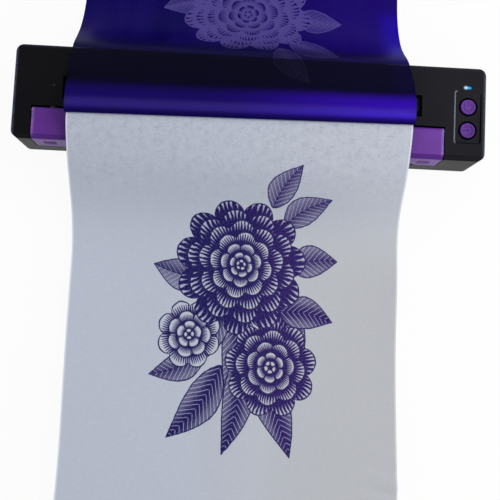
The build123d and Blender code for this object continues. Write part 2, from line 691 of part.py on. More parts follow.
with BuildPart() as platen_bush_right:
    rod(RIGHT_ARM_X, RIGHT_ARM_X + ARM_T, PLATEN_Y, PLATEN_Z, BUSH_D)
    rod(RIGHT_ARM_X - BUSH_FLANGE_T, RIGHT_ARM_X, PLATEN_Y, PLATEN_Z, BUSH_FLANGE_D)
    rod(
        RIGHT_ARM_X - BUSH_FLANGE_T, RIGHT_ARM_X + ARM_T, PLATEN_Y, PLATEN_Z, SHAFT_D + RUN_FIT, Mode.SUBTRACT
    )
put(platen_bush_right, "platen_bush_right")

# Roller: steel shaft with a rubber sleeve and a gear at the left end.
SHAFT_X0 = PGEAR_X - SHAFT_END
SHAFT_X1 = RIGHT_ARM_X + ARM_T + SHAFT_END
with BuildPart() as platen_shaft:
    rod(SHAFT_X0, SHAFT_X1, PLATEN_Y, PLATEN_Z, SHAFT_D)
put(platen_shaft, "platen_shaft")

with BuildPart() as platen_sleeve:
    rod(PLATEN_X0, PLATEN_X1, PLATEN_Y, PLATEN_Z, PLATEN_D)
    chamfer(platen_sleeve.edges().filter_by(GeomType.CIRCLE), length=PLATEN_EDGE)
    rod(PLATEN_X0, PLATEN_X1, PLATEN_Y, PLATEN_Z, SHAFT_D + PIN_FIT, Mode.SUBTRACT)
put(platen_sleeve, "platen_sleeve")

MESH_1_ANGLE = math.degrees(math.atan2(STUD_Z - PLATEN_Z, STUD_Y - PLATEN_Y))
MESH_2_ANGLE = math.degrees(math.atan2(MOTOR_Z - STUD_Z, MOTOR_Y - STUD_Y))
with BuildPart() as platen_gear:
    slab(PGEAR_X, PGEAR_X + GEAR_W, gear_points(PLATEN_TEETH, MESH_1_ANGLE, PLATEN_Y, PLATEN_Z))
    rod(PGEAR_X, PGEAR_X + GEAR_W, PLATEN_Y, PLATEN_Z, SHAFT_D + PIN_FIT, Mode.SUBTRACT)
put(platen_gear, "platen_gear")

# Compound gear: the small wheel drives the roller, the motor drives the large one.
with BuildPart() as compound_gear:
    slab(
        PGEAR_X,
        PGEAR_X + GEAR_W,
        gear_points(SMALL_TEETH, MESH_1_ANGLE + 180 + 180 / SMALL_TEETH, STUD_Y, STUD_Z),
    )
    rod(LARGE_X + LARGE_W, PGEAR_X, STUD_Y, STUD_Z, 2 * (SMALL_PR - MODULE))
    slab(LARGE_X, LARGE_X + LARGE_W, gear_points(LARGE_TEETH, MESH_2_ANGLE, STUD_Y, STUD_Z))
    rod(LARGE_X, PGEAR_X + GEAR_W, STUD_Y, STUD_Z, STUD_D + RUN_FIT, Mode.SUBTRACT)
put(compound_gear, "compound_gear")

STUD_HEAD_X = PGEAR_X + GEAR_W + SEAT_GAP
with BuildPart() as gear_stud:
    rod(GPLATE_X, STUD_HEAD_X, STUD_Y, STUD_Z, STUD_D)
    rod(STUD_HEAD_X, STUD_HEAD_X + STUD_HEAD_T, STUD_Y, STUD_Z, 2 * STUD_D)
put(gear_stud, "gear_stud")

with BuildPart() as motor_pinion:
    slab(
        LARGE_X,
        LARGE_X + LARGE_W,
        gear_points(PINION_TEETH, MESH_2_ANGLE + 180 + 180 / PINION_TEETH, MOTOR_Y, MOTOR_Z),
    )
    rod(LARGE_X, LARGE_X + LARGE_W, MOTOR_Y, MOTOR_Z, MOTOR_SHAFT_D + PIN_FIT, Mode.SUBTRACT)
put(motor_pinion, "motor_pinion")

with BuildPart() as motor_shaft:
    rod(MOTOR_X + MOTOR_BACK, LARGE_X + LARGE_W + SEAT_GAP, MOTOR_Y, MOTOR_Z, MOTOR_SHAFT_D)
put(motor_shaft, "motor_shaft")

# Stepper motor: round can with a two-eared face plate on the gear plate.
EAR_STEP = MOTOR_EAR * math.cos(math.radians(45))
EARS = [(MOTOR_Y + EAR_STEP, MOTOR_Z + EAR_STEP), (MOTOR_Y - EAR_STEP, MOTOR_Z - EAR_STEP)]
with BuildPart() as stepper_motor:
    rod(MOTOR_X, GPLATE_X, MOTOR_Y, MOTOR_Z, MOTOR_D)
    with BuildSketch(Plane.YZ.offset(GPLATE_X - MOTOR_EAR_T)):
        with Locations(Location((MOTOR_Y, MOTOR_Z), 45)):
            SlotCenterToCenter(2 * MOTOR_EAR, 2 * MOTOR_EAR_R)
    extrude(amount=MOTOR_EAR_T)
    for y, z in EARS:
        rod(GPLATE_X - MOTOR_EAR_T, GPLATE_X, y, z, SMALL_SCREW_D + SCREW_CLEAR, Mode.SUBTRACT)
    rod(MOTOR_X + MOTOR_BACK, GPLATE_X, MOTOR_Y, MOTOR_Z, MOTOR_SHAFT_D + RUN_FIT, Mode.SUBTRACT)
put(stepper_motor, "stepper_motor")

# Gear plate: upright steel plate with the motor on one side and the gears on
# the other.
LEAD_Y = HEAD_PIVOT_Y + CERAMIC_T
LEAD_NOTCH = 3.0
GPLATE_TOP = MOTOR_Z + MOTOR_EAR
with BuildPart() as gear_plate:
    block(GPLATE_X, GPLATE_X + PLATE_T, STUD_Y - 2 * STUD_D, REAR_Y - WALL - ARM_GAP, INSIDE_Z, GPLATE_TOP)
    rod(GPLATE_X, GPLATE_X + PLATE_T, STUD_Y, STUD_Z, STUD_D + PIN_FIT, Mode.SUBTRACT)
    rod(GPLATE_X, GPLATE_X + PLATE_T, MOTOR_Y, MOTOR_Z, MOTOR_BOSS_D, Mode.SUBTRACT)
    for y, z in EARS:
        rod(GPLATE_X, GPLATE_X + PLATE_T, y, z, SMALL_SCREW_D + PIN_FIT, Mode.SUBTRACT)
    block(
        GPLATE_X, GPLATE_X + PLATE_T, LEAD_Y - LEAD_NOTCH, LEAD_Y + LEAD_NOTCH, INSIDE_Z, INSIDE_Z + 2 * LEAD_D,
        Mode.SUBTRACT,
    )
put(gear_plate, "gear_plate")

with BuildPart() as motor_screws:
    for y, z in EARS:
        rod(GPLATE_X - MOTOR_EAR_T - SMALL_HEAD_T, GPLATE_X - MOTOR_EAR_T, y, z, SMALL_HEAD_D)
        rod(GPLATE_X - MOTOR_EAR_T, GPLATE_X + PLATE_T, y, z, SMALL_SCREW_D)
put(motor_screws, "motor_screws")

# Print head: ceramic strip with its heater line, driver cover, heat sink and
# the sprung steel bracket.
with BuildPart() as head_ceramic:
    block(CERAMIC_X0, CERAMIC_X1, HEAD_Y, SINK_Y, HEAD_Z0, HEAD_Z1)
put(head_ceramic, "head_ceramic")

with BuildPart() as head_driver_cover:
    block(
        CERAMIC_X0 + DRIVER_END,
        CERAMIC_X1 - DRIVER_END,
        HEAD_Y - DRIVER_T,
        HEAD_Y,
        HEAD_Z0 + SEAT_GAP,
        HEAD_Z0 + SEAT_GAP + DRIVER_H,
    )
put(head_driver_cover, "head_driver_cover")

with BuildPart() as head_heatsink:
    block(PLATEN_X0, PLATEN_X1, SINK_Y, BRACKET_Y, HEAD_Z0, HEAD_Z1)
    for k in (1, 3, 12):
        z = HEAD_Z0 + GROOVE * k
        block(PLATEN_X0, PLATEN_X1, BRACKET_Y - GROOVE, BRACKET_Y, z, z + GROOVE, Mode.SUBTRACT)
put(head_heatsink, "head_heatsink")

EAR_X0 = PLATEN_X0 - BRACKET_SIDE
EAR_X1 = PLATEN_X1 + BRACKET_SIDE
EAR_LOW = HEAD_PIN_D / 2 + EAR_RIM
with BuildPart() as head_bracket:
    block(EAR_X0, EAR_X1, BRACKET_Y, SPRING_Y, HEAD_PIVOT_Z - EAR_LOW / 2, HEAD_Z1 - BRACKET_SIDE)
    for x0 in (EAR_X0, EAR_X1 - EAR_T):
        slab(
            x0,
            x0 + EAR_T,
            [
                (BRACKET_Y, HEAD_PIVOT_Z - EAR_LOW / 2),
                (HEAD_PIVOT_Y - EAR_LOW / 2, HEAD_PIVOT_Z - EAR_LOW),
                (HEAD_PIVOT_Y + EAR_LOW / 2, HEAD_PIVOT_Z - EAR_LOW),
                (HEAD_PIVOT_Y + EAR_LOW, HEAD_PIVOT_Z),
                (HEAD_PIVOT_Y + EAR_LOW / 2, HEAD_PIVOT_Z + EAR_LOW),
                (BRACKET_Y, HEAD_PIVOT_Z + 3 * EAR_LOW),
            ],
        )
        rod(x0, x0 + EAR_T, HEAD_PIVOT_Y, HEAD_PIVOT_Z, HEAD_PIN_D + RUN_FIT, Mode.SUBTRACT)
put(head_bracket, "head_bracket")

# Chassis plate: backs the head springs, with a flange at each end for the
# pivot pins.
with BuildPart() as chassis_plate:
    block(CHASSIS_X0, CHASSIS_X1, CHASSIS_Y, CHASSIS_Y + PLATE_T, INSIDE_Z, CHASSIS_TOP)
    for x0 in (CHASSIS_X0, CHASSIS_X1 - PLATE_T):
        block(
            x0,
            x0 + PLATE_T,
            HEAD_PIVOT_Y - HEAD_PIN_D,
            CHASSIS_Y + PLATE_T,
            HEAD_PIVOT_Z - EAR_LOW,
            HEAD_PIVOT_Z + FLANGE_RISE,
        )
        rod(x0, x0 + PLATE_T, HEAD_PIVOT_Y, HEAD_PIVOT_Z, HEAD_PIN_D + PIN_FIT, Mode.SUBTRACT)
put(chassis_plate, "chassis_plate")

with BuildPart() as head_pivot_pins:
    rod(CHASSIS_X0 - PIN_PROUD, EAR_X0 + EAR_T + PIN_PROUD, HEAD_PIVOT_Y, HEAD_PIVOT_Z, HEAD_PIN_D)
    rod(EAR_X1 - EAR_T - PIN_PROUD, CHASSIS_X1 + PIN_PROUD, HEAD_PIVOT_Y, HEAD_PIVOT_Z, HEAD_PIN_D)
put(head_pivot_pins, "head_pivot_pins")

# Head springs: three wire coils between the bracket and the chassis plate.
SPRING_RUN = SPRING_SPACE - SPRING_WIRE - 2 * SPRING_FIT
with BuildPart() as head_springs:
    for x in SPRING_XS:
        with BuildLine() as coil:
            Helix(
                pitch=SPRING_RUN / SPRING_TURNS,
                height=SPRING_RUN,
                radius=(SPRING_D - SPRING_WIRE) / 2,
                center=(x, SPRING_Y + SPRING_WIRE / 2 + SPRING_FIT, PLATEN_Z),
                direction=(0, 1, 0),
            )
        with BuildSketch(Plane(origin=coil.line @ 0, z_dir=coil.line % 0)):
            Circle(SPRING_WIRE / 2)
        sweep(path=coil.line)
put(head_springs, "head_springs")

# Lower paper guide: flat in front, then curved round the roller, on ribs.
GUIDE_R = PLATEN_D / 2 + GUIDE_CLEAR
GUIDE_Z = PLATEN_Z - GUIDE_R
GUIDE_FRONT = FRONT_Y + WALL + SEAT_GAP
LOW_X0 = PLATEN_X0 - GUIDE_SIDE
LOW_X1 = PLATEN_X1 + GUIDE_SIDE
SENSOR_X = SHEET_X1 - SENSOR_SIDE
SENSOR_Y = FRONT_Y + SENSOR_INSET
RIB_STEP = (LOW_X1 - LOW_X0 - GUIDE_RIB_T) / (GUIDE_RIBS - 1)
with BuildPart() as lower_paper_guide:
    arc_top = [
        (PLATEN_Y + GUIDE_R * math.cos(math.radians(a)), PLATEN_Z + GUIDE_R * math.sin(math.radians(a)))
        for a in range(-90, -49, 8)
    ]
    arc_low = [
        (
            PLATEN_Y + (GUIDE_R + GUIDE_T) * math.cos(math.radians(a)),
            PLATEN_Z + (GUIDE_R + GUIDE_T) * math.sin(math.radians(a)),
        )
        for a in range(-50, -91, -8)
    ]
    slab(
        LOW_X0,
        LOW_X1,
        [(GUIDE_FRONT, GUIDE_Z)] + arc_top + arc_low + [(GUIDE_FRONT, GUIDE_Z - GUIDE_T)],
    )
    for k in range(GUIDE_RIBS):
        x = LOW_X0 + RIB_STEP * k
        block(x, x + GUIDE_RIB_T, GUIDE_FRONT + GUIDE_RIB_T, PLATEN_Y, INSIDE_Z, GUIDE_Z - GUIDE_T / 2)
    block(
        SENSOR_X - SENSOR_WINDOW / 2,
        SENSOR_X + SENSOR_WINDOW / 2,
        SENSOR_Y - SENSOR_WINDOW / 2,
        SENSOR_Y + SENSOR_WINDOW / 2,
        GUIDE_Z - GUIDE_T,
        GUIDE_Z,
        Mode.SUBTRACT,
    )
put(lower_paper_guide, "lower_paper_guide")

with BuildPart() as paper_sensor:
    block(
        SENSOR_X - SENSOR_L / 2,
        SENSOR_X + SENSOR_L / 2,
        SENSOR_Y - SENSOR_W / 2,
        SENSOR_Y + SENSOR_W / 2,
        GUIDE_Z - GUIDE_T - SENSOR_T,
        GUIDE_Z - GUIDE_T,
    )
put(paper_sensor, "paper_sensor")

# Power cells in their tray behind the chassis plate.
BATTERY_LEAD_Y = CELL_Y0 + 2 * LEAD_D
BATTERY_LEAD_Z = CELL_Z + TRAY_WALL_H - LEAD_D
with BuildPart() as battery_cells:
    for x0 in (CELL_X0, CELL_X0 + CELL_L + CELL_GAP):
        block(x0, x0 + CELL_L, CELL_Y0, CELL_Y0 + CELL_D, CELL_Z, CELL_Z + CELL_H)
    fillet(battery_cells.edges().filter_by(Axis.X), radius=CELL_R)
put(battery_cells, "battery_cells")

with BuildPart() as battery_tray:
    block(
        CELL_X0 - TRAY_GAP - TRAY_T,
        CELL_X1 + TRAY_GAP + TRAY_T,
        CELL_Y0 - TRAY_GAP - TRAY_T,
        CELL_Y0 + CELL_D + TRAY_GAP + TRAY_T,
        INSIDE_Z,
        CELL_Z + TRAY_WALL_H,
    )
    block(
        CELL_X0 - TRAY_GAP,
        CELL_X1 + TRAY_GAP,
        CELL_Y0 - TRAY_GAP,
        CELL_Y0 + CELL_D + TRAY_GAP,
        CELL_Z,
        CELL_Z + TRAY_WALL_H,
        Mode.SUBTRACT,
    )
    block(
        CELL_X1,
        CELL_X1 + TRAY_GAP + TRAY_T,
        BATTERY_LEAD_Y - LEAD_D,
        BATTERY_LEAD_Y + LEAD_D,
        BATTERY_LEAD_Z - LEAD_D,
        CELL_Z + TRAY_WALL_H,
        Mode.SUBTRACT,
    )
put(battery_tray, "battery_tray")

# Main board with its parts.
with BuildPart() as main_board:
    block(BOARD_NECK_X, BOARD_X1, BOARD_Y0, BOARD_Y1, BOARD_Z, BOARD_TOP)
    block(BOARD_X0, BOARD_NECK_X, BOARD_MID_Y, BOARD_Y1, BOARD_Z, BOARD_TOP)
    for x, y in BOARD_SCREWS:
        post(x, y, BOARD_Z, BOARD_TOP, SMALL_SCREW_D + SCREW_CLEAR, Mode.SUBTRACT)
put(main_board, "main_board")

with BuildPart() as board_screws:
    for x, y in BOARD_SCREWS:
        post(x, y, BOARD_Z - SMALL_HEAD_T, BOARD_Z, SMALL_HEAD_D)
        post(x, y, BOARD_Z, BOARD_TOP + SMALL_SCREW_BITE, SMALL_SCREW_D)
put(board_screws, "board_screws")

SOCKET_X = BOARD_X0 + BRACKET_SIDE
SOCKET_Y = BATTERY_LEAD_Y
PLUG_Z = BOARD_Z - PLUG_H / 2
CHIPS = [(8.0, 8.0, 1.0, 8.8, 14.0), (5.0, 6.0, 1.6, 5.3, 26.0), (7.0, 5.0, 1.2, 14.3, 26.0)]
with BuildPart() as board_parts:
    for length, width, height, x, y in CHIPS:
        block(
            BOARD_NECK_X + x - length / 2,
            BOARD_NECK_X + x + length / 2,
            BOARD_Y0 + y,
            BOARD_Y0 + y + width,
            BOARD_Z - height,
            BOARD_Z,
        )
    for y in (SOCKET_Y, LEAD_Y):
        block(SOCKET_X, SOCKET_X + PLUG_W, y - PLUG_W / 2, y + PLUG_W / 2, BOARD_Z - PLUG_H, BOARD_Z)
    block(SOCKET_X, SOCKET_X + PLUG_W, HEAD_Y - BRACKET_SIDE, HEAD_Y + BRACKET_SIDE, BOARD_Z - 2 * PLUG_H, BOARD_Z)
put(board_parts, "board_parts")

with BuildPart() as tact_switches:
    for y in (POWER_Y, FEED_Y):
        block(
            BUTTON_X - SWITCH_S / 2,
            BUTTON_X + SWITCH_S / 2,
            y - SWITCH_S / 2,
            y + SWITCH_S / 2,
            BOARD_TOP,
            BOARD_TOP + SWITCH_H,
        )
        post(BUTTON_X, y, BOARD_TOP + SWITCH_FLOOR, BOARD_TOP + SWITCH_H, STEM_D + 2 * SLIP_GAP, Mode.SUBTRACT)
put(tact_switches, "tact_switches")

# Charging socket at the right end wall.
USB_X = END_X - USB_INSET - USB_L
USB_Z = BOARD_TOP + USB_H / 2
with BuildPart() as usb_c_socket:
    with BuildSketch(Plane.YZ.offset(USB_X)):
        with Locations((USB_Y, USB_Z)):
            RectangleRounded(USB_W, USB_H, USB_H / 2 - SLIP_GAP)
    extrude(amount=USB_L)
    with BuildSketch(Plane.YZ.offset(USB_X + USB_T)):
        with Locations((USB_Y, USB_Z)):
            RectangleRounded(USB_W - 2 * USB_T, USB_H - 2 * USB_T, USB_H / 2 - USB_T - SLIP_GAP)
    extrude(amount=USB_L - USB_T, mode=Mode.SUBTRACT)
    block(
        USB_X + USB_T / 2,
        USB_X + USB_L - ARM_GAP,
        USB_Y - TONGUE_W / 2,
        USB_Y + TONGUE_W / 2,
        USB_Z - TONGUE_T / 2,
        USB_Z + TONGUE_T / 2,
    )
put(usb_c_socket, "usb_c_socket")

# Status lamp and the clear window over it.
with BuildPart() as status_led:
    block(
        LAMP_X - LED_L / 2, LAMP_X + LED_L / 2, LAMP_Y - LED_W / 2, LAMP_Y + LED_W / 2, BOARD_TOP, BOARD_TOP + LED_T
    )
put(status_led, "status_led")

with BuildPart() as light_pipe:
    with BuildSketch(Plane.XY.offset(BOARD_TOP + LED_T + SEAT_GAP)):
        with Locations((LAMP_X, LAMP_Y)):
            RectangleRounded(LAMP_L, LAMP_W, LAMP_W / 2 - SHEET_GAP)
    extrude(amount=BOARD_DROP - LED_T - SEAT_GAP)
    block(
        LAMP_X - LAMP_L / 2 - LAMP_FLANGE,
        LAMP_X + LAMP_L / 2 + LAMP_FLANGE,
        LAMP_Y - LAMP_W / 2 - LAMP_FLANGE,
        LAMP_Y + LAMP_W / 2 + LAMP_FLANGE,
        PLATE_Z - LAMP_FLANGE_T,
        PLATE_Z,
    )
put(light_pipe, "light_pipe")


def pad_height(y):
    """Height of the sloped pad floor."""
    slope = (PAD_FRONT_DEPTH - PAD_REAR_DEPTH) / (PAD_Y1 - PAD_Y0)
    return BODY_TOP - PAD_FRONT_DEPTH + slope * (y - PAD_Y0)


# Buttons: dished caps with a rim, a retaining flange and a stem on the switch.
PLUNGER_Z = BOARD_TOP + SWITCH_H + PLUNGER_PROUD
BUTTON_LOW = PLATE_Z - SEAT_GAP - BUTTON_FLANGE_T
for button_name, plunger_name, button_y in (
    ("power_button", "power_switch_plunger", POWER_Y),
    ("feed_button", "feed_switch_plunger", FEED_Y),
):
    top_z = pad_height(button_y) + BUTTON_PROUD
    with BuildPart() as button:
        post(BUTTON_X, button_y, BUTTON_LOW, top_z, BUTTON_D)
        fillet(button.faces().sort_by(Axis.Z)[-1].edges(), radius=BUTTON_EDGE_R)
        post(BUTTON_X, button_y, top_z - BUTTON_DISH, top_z, BUTTON_D - 2 * BUTTON_RIM, Mode.SUBTRACT)
        post(
            BUTTON_X,
            button_y,
            BUTTON_LOW,
            PLATE_Z - SEAT_GAP,
            BUTTON_D + 2 * BUTTON_GAP + BUTTON_FLANGE,
        )
        post(BUTTON_X, button_y, PLUNGER_Z, PLATE_Z - SEAT_GAP, STEM_D)
    put(button, button_name)
    with BuildPart() as plunger:
        post(BUTTON_X, button_y, BOARD_TOP + SWITCH_FLOOR + 2 * BUTTON_TRAVEL, PLUNGER_Z, STEM_D)
    put(plunger, plunger_name)


def lead(points, diameter):
    """A round lead along straight runs joined by tangent arcs."""
    radii = []
    for a, b, c in zip(points, points[1:], points[2:]):
        turn = (Vector(*b) - Vector(*a)).get_angle(Vector(*c) - Vector(*b))
        short = min(math.dist(a, b), math.dist(b, c))
        radii.append(0.45 * short / math.tan(math.radians(turn / 2)))
    print("lead radii", [round(r, 1) for r in radii])
    with BuildLine() as route:
        FilletPolyline(*points, radius=radii)
    with BuildSketch(Plane(origin=route.line @ 0, z_dir=route.line % 0)) as section:
        Circle(diameter / 2)
    sweep(section.sketch, path=route.line)


# Leads inside the housing.
LEAD_Z = INSIDE_Z + LEAD_D / 2 + LEAD_GAP
LEAD_IN = MOTOR_Y - LEAD_Y - LEAD_D / 2
BATTERY_REACH = SOCKET_X - CELL_X1
with BuildPart() as battery_lead:
    lead(
        [
            (CELL_X1, BATTERY_LEAD_Y, BATTERY_LEAD_Z),
            (CELL_X1 + BATTERY_REACH * 0.42, BATTERY_LEAD_Y, BATTERY_LEAD_Z),
            (CELL_X1 + BATTERY_REACH * 0.69, SOCKET_Y, PLUG_Z),
            (SOCKET_X, SOCKET_Y, PLUG_Z),
        ],
        LEAD_D,
    )
put(battery_lead, "battery_lead")

with BuildPart() as motor_lead:
    lead(
        [
            (MOTOR_X + MOTOR_L * 0.5, LEAD_Y, MOTOR_Z - math.sqrt((MOTOR_D / 2) ** 2 - LEAD_IN**2) - SLIP_GAP),
            (MOTOR_X + MOTOR_L * 0.52, LEAD_Y, LEAD_Z + 2.4 * LEAD_D),
            (MOTOR_X + MOTOR_L * 0.9, LEAD_Y, LEAD_Z),
            (SHEET_X - SHEET_W * 0.47, LEAD_Y - 0.4, LEAD_Z),
            (SHEET_X - SHEET_W * 0.25, LEAD_Y + 0.2, LEAD_Z),
            (SHEET_X - SHEET_W * 0.01, LEAD_Y - 0.3, LEAD_Z),
            (SHEET_X + SHEET_W * 0.23, LEAD_Y + 0.3, LEAD_Z),
            (SHEET_X + SHEET_W * 0.39, LEAD_Y - 0.1, LEAD_Z),
            (SOCKET_X - 8.6 * LEAD_D, LEAD_Y, LEAD_Z + LEAD_GAP),
            (SOCKET_X - 4.7 * LEAD_D, LEAD_Y, (LEAD_Z + PLUG_Z) / 2),
            (SOCKET_X - 2.8 * LEAD_D, LEAD_Y, PLUG_Z),
            (SOCKET_X, LEAD_Y, PLUG_Z),
        ],
        LEAD_D,
    )
put(motor_lead, "motor_lead")

# Flat cable between the print head and the board.
with BuildPart() as head_ribbon_cable:
    block(
        PLATEN_X1 + SEAT_GAP,
        SOCKET_X,
        HEAD_Y - RIBBON_T / 2,
        HEAD_Y + RIBBON_T / 2,
        BOARD_Z - ARM_GAP - RIBBON_W,
        BOARD_Z - ARM_GAP,
    )
put(head_ribbon_cable, "head_ribbon_cable")

# Sheets: held together in the nip, leaning forward out of the recess, parted
# at the peel line. The white one falls over the cover to the table in front,
# the violet one turns back over the body to the table behind.
SHARED = [
    (NIP_Y, PLATEN_Z - SHEET_START_DROP),
    (NIP_Y, PLATEN_Z + RECESS_DEPTH),
    (NIP_Y - 0.15 * RECESS_DEPTH, BODY_TOP - RECESS_DEPTH / 3),
    (NIP_Y - 0.6333 * RECESS_DEPTH, BODY_TOP + 0.7667 * RECESS_DEPTH),
    (NIP_Y - 1.4 * RECESS_DEPTH, BODY_TOP + 1.5333 * RECESS_DEPTH),
    (NIP_Y - 2.0 * RECESS_DEPTH, BODY_TOP + 1.8667 * RECESS_DEPTH),
]
# Places along the two falls, as shares of the body's height: how far out from
# the front or rear face, and how high over the table.
FRONT_FALL = [
    (-0.3293, 1.2805), (-0.1707, 1.2293), (0.0244, 1.1366), (0.2195, 1.0244), (0.3902, 0.8927),
    (0.5610, 0.7220), (0.7317, 0.5512), (0.9024, 0.3902), (1.0976, 0.2439), (1.3171, 0.1317), (1.5610, 0.0585),
    (1.8537, 0.0244), (2.1707, 0.0171), (2.6585, 0.0244), (3.2683, 0.0537), (4.0000, 0.1073), (4.7561, 0.1805),
    (5.3902, 0.2829), (5.9268, 0.4146),
]
REAR_FALL = [
    (-1.1049, 1.3171), (-1.0634, 1.3659), (-0.9146, 1.3902), (-0.6829, 1.3415), (-0.4390, 1.2390),
    (-0.2195, 1.1220), (-0.0244, 1.0146), (0.1073, 0.9171), (0.3171, 0.6732), (0.5122, 0.4634),
    (0.7927, 0.2585), (1.0732, 0.1220), (1.3415, 0.0537), (1.6341, 0.0220), (1.9756, 0.0122), (3.1463, 0.0098),
    (5.3415, 0.0098),
]
WHITE_FALL = [(FRONT_Y - a * BODY_TOP, b * BODY_TOP) for a, b in FRONT_FALL]
FILM_BACK = [(REAR_Y + a * BODY_TOP, b * BODY_TOP) for a, b in REAR_FALL]
SPLIT = (SHEET_T + SHEET_GAP) / 2
shared_path = curve(SHARED, 2.0)
film_path = offset_path(shared_path, -SPLIT)
film_path += curve([film_path[-1]] + FILM_BACK, 2.5)[1:]
with BuildPart() as carbon_film:
    slab(SHEET_X - SHEET_W / 2, SHEET_X + SHEET_W / 2, ribbon(film_path))
put(carbon_film, "carbon_film")

# The white sheet keeps a curl across its width once it has left the cover: its
# two side edges stand up, its middle lies on the table. Flat sections along its
# path, at these shares of the half width, are joined by ruled faces.
CURL_SHARES = [-1.0, -0.72, -0.4, 0.0, 0.4, 0.72, 1.0]


def curled(points, share):
    """The section's points, raised by the curl at this share of the half width."""
    out = []
    for y, z in points:
        t = (FRONT_Y - y - CURL_START) / (CURL_FULL - CURL_START)
        t = min(1.0, max(0.0, t))
        out.append((y, z + CURL_H * share**2 * t * t * (3 - 2 * t)))
    return out


white_path = offset_path(shared_path, SPLIT)
white_path += curve([white_path[-1]] + WHITE_FALL, 6.0)[1:]
white_outline = ribbon(white_path)
white_sections = [
    Wire.make_polygon(
        [Vector(SHEET_X + share * SHEET_W / 2, y, z) for y, z in curled(white_outline, share)],
        close=True,
    )
    for share in CURL_SHARES
]
with BuildPart() as stencil_sheet:
    add(Solid.make_loft(white_sections, ruled=True))
put(stencil_sheet, "stencil_sheet")
for sheet_name, sheet_path in (("stencil_sheet", white_path), ("carbon_film", film_path)):
    length = sum(math.dist(a, b) for a, b in zip(sheet_path, sheet_path[1:]))
    print(sheet_name, "length", round(length, 1))
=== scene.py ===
import math
from functools import partial

import bpy
import numpy as np
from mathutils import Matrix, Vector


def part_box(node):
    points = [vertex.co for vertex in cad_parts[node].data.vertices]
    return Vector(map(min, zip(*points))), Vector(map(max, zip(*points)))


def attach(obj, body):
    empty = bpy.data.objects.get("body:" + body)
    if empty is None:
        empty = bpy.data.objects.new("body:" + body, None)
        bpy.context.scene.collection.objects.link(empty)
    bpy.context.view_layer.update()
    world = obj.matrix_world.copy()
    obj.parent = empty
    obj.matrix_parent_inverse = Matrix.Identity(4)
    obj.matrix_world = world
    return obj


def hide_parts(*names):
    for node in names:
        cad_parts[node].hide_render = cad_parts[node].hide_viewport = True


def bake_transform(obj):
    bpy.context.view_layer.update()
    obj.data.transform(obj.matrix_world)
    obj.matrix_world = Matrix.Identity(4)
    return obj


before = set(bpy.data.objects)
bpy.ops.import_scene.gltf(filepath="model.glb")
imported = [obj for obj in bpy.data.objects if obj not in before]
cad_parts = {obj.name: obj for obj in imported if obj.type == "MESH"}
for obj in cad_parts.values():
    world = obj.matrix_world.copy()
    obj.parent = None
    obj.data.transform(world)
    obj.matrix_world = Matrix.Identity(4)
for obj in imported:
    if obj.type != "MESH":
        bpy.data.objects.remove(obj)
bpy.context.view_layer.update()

# View from above: the printer lies across the picture and is seen almost
# straight from above, from a little in front of it.
VIEW_PLACE = (-0.00949, -0.14429, 0.56122)
VIEW_TURN = (0.0893, -0.0295, 0.0466)
PICTURE_WIDE_MM = 36.0
LENS_MM = 58.4


def put_in_scene(name, data):
    """A new object with the data, linked to the scene."""
    thing = bpy.data.objects.new(name, data)
    bpy.context.scene.collection.objects.link(thing)
    return thing


view_lens = bpy.data.cameras.new("view_from_above")
view_lens.sensor_width = PICTURE_WIDE_MM
view_lens.lens = LENS_MM
view_from_above = put_in_scene("view_from_above", view_lens)
view_from_above.location = VIEW_PLACE
view_from_above.rotation_euler = VIEW_TURN
bpy.context.scene.camera = view_from_above

# Housing: two black shells of moulded ABS, an upper one with the exit recess
# and the sunken button pad, and a lower tray. They have a fine spark-eroded
# skin, painted lighter towards the right end as painted light, edges paler from
# rubbing and a painted blue-grey highlight, and are held by screws from below.
BLACK_ABS = (0.0034, 0.0034, 0.0048)
BLACK_ABS_PAINTED_LIGHT_AT_RIGHT = (0.0066, 0.0064, 0.0098)
PAINTED_LIGHT_SPAN = (0.04, 0.15)
BLUE_GREY_RUB_AND_HIGHLIGHT = (0.075, 0.092, 0.135)
DUST_GREY = (0.45, 0.46, 0.48)
EDGE_REACH = (0.0024, 0.0003)
LONG_EDGE_SHARE = 0.25
CLOUDS_IN_GLOSS = 0.7


def feed(tree, socket, value):
    """Sets a socket to a number or vector, or joins it to another socket."""
    if isinstance(value, bpy.types.NodeSocket):
        tree.links.new(value, socket)
    else:
        socket.default_value = value


def join(tree, sockets, **values):
    """Feeds each value to the socket of its name, which has spaces where the keyword has _."""
    for name, value in values.items():
        feed(tree, sockets[name.replace("_", " ")], value)


def new_finish(name, colour, roughness, **settings):
    """A material of one Principled BSDF with plain settings; gives the material, its tree and its shader."""
    material = bpy.data.materials.new(name)
    material.use_nodes = True
    tree = material.node_tree
    shader = tree.nodes["Principled BSDF"]
    join(tree, shader.inputs, Base_Color=(*colour, 1.0), Roughness=roughness, **settings)
    return material, tree, shader


def work(tree, operation, *terms, clamp=False):
    """One step of arithmetic on numbers or sockets."""
    step = tree.nodes.new("ShaderNodeMath")
    step.operation = operation
    step.use_clamp = clamp
    for socket, term in zip(step.inputs, terms):
        feed(tree, socket, term)
    return step.outputs[0]


def fade(tree, value, low, high, start=0.0, end=1.0):
    """Goes smoothly from start to end as value goes from low to high: 3t^2 - 2t^3 of the share t."""
    step = tree.nodes.new("ShaderNodeMapRange")
    step.interpolation_type = "SMOOTHSTEP"
    for socket, term in zip(step.inputs, (value, low, high, start, end)):
        feed(tree, socket, term)
    return step.outputs[0]


def steps(tree):
    """Short ways to add steps to a tree: any arithmetic, a product, a sum, a difference and a fade."""
    named = [partial(work, tree, name) for name in ("MULTIPLY", "ADD", "SUBTRACT")]
    return partial(work, tree), *named, partial(fade, tree)


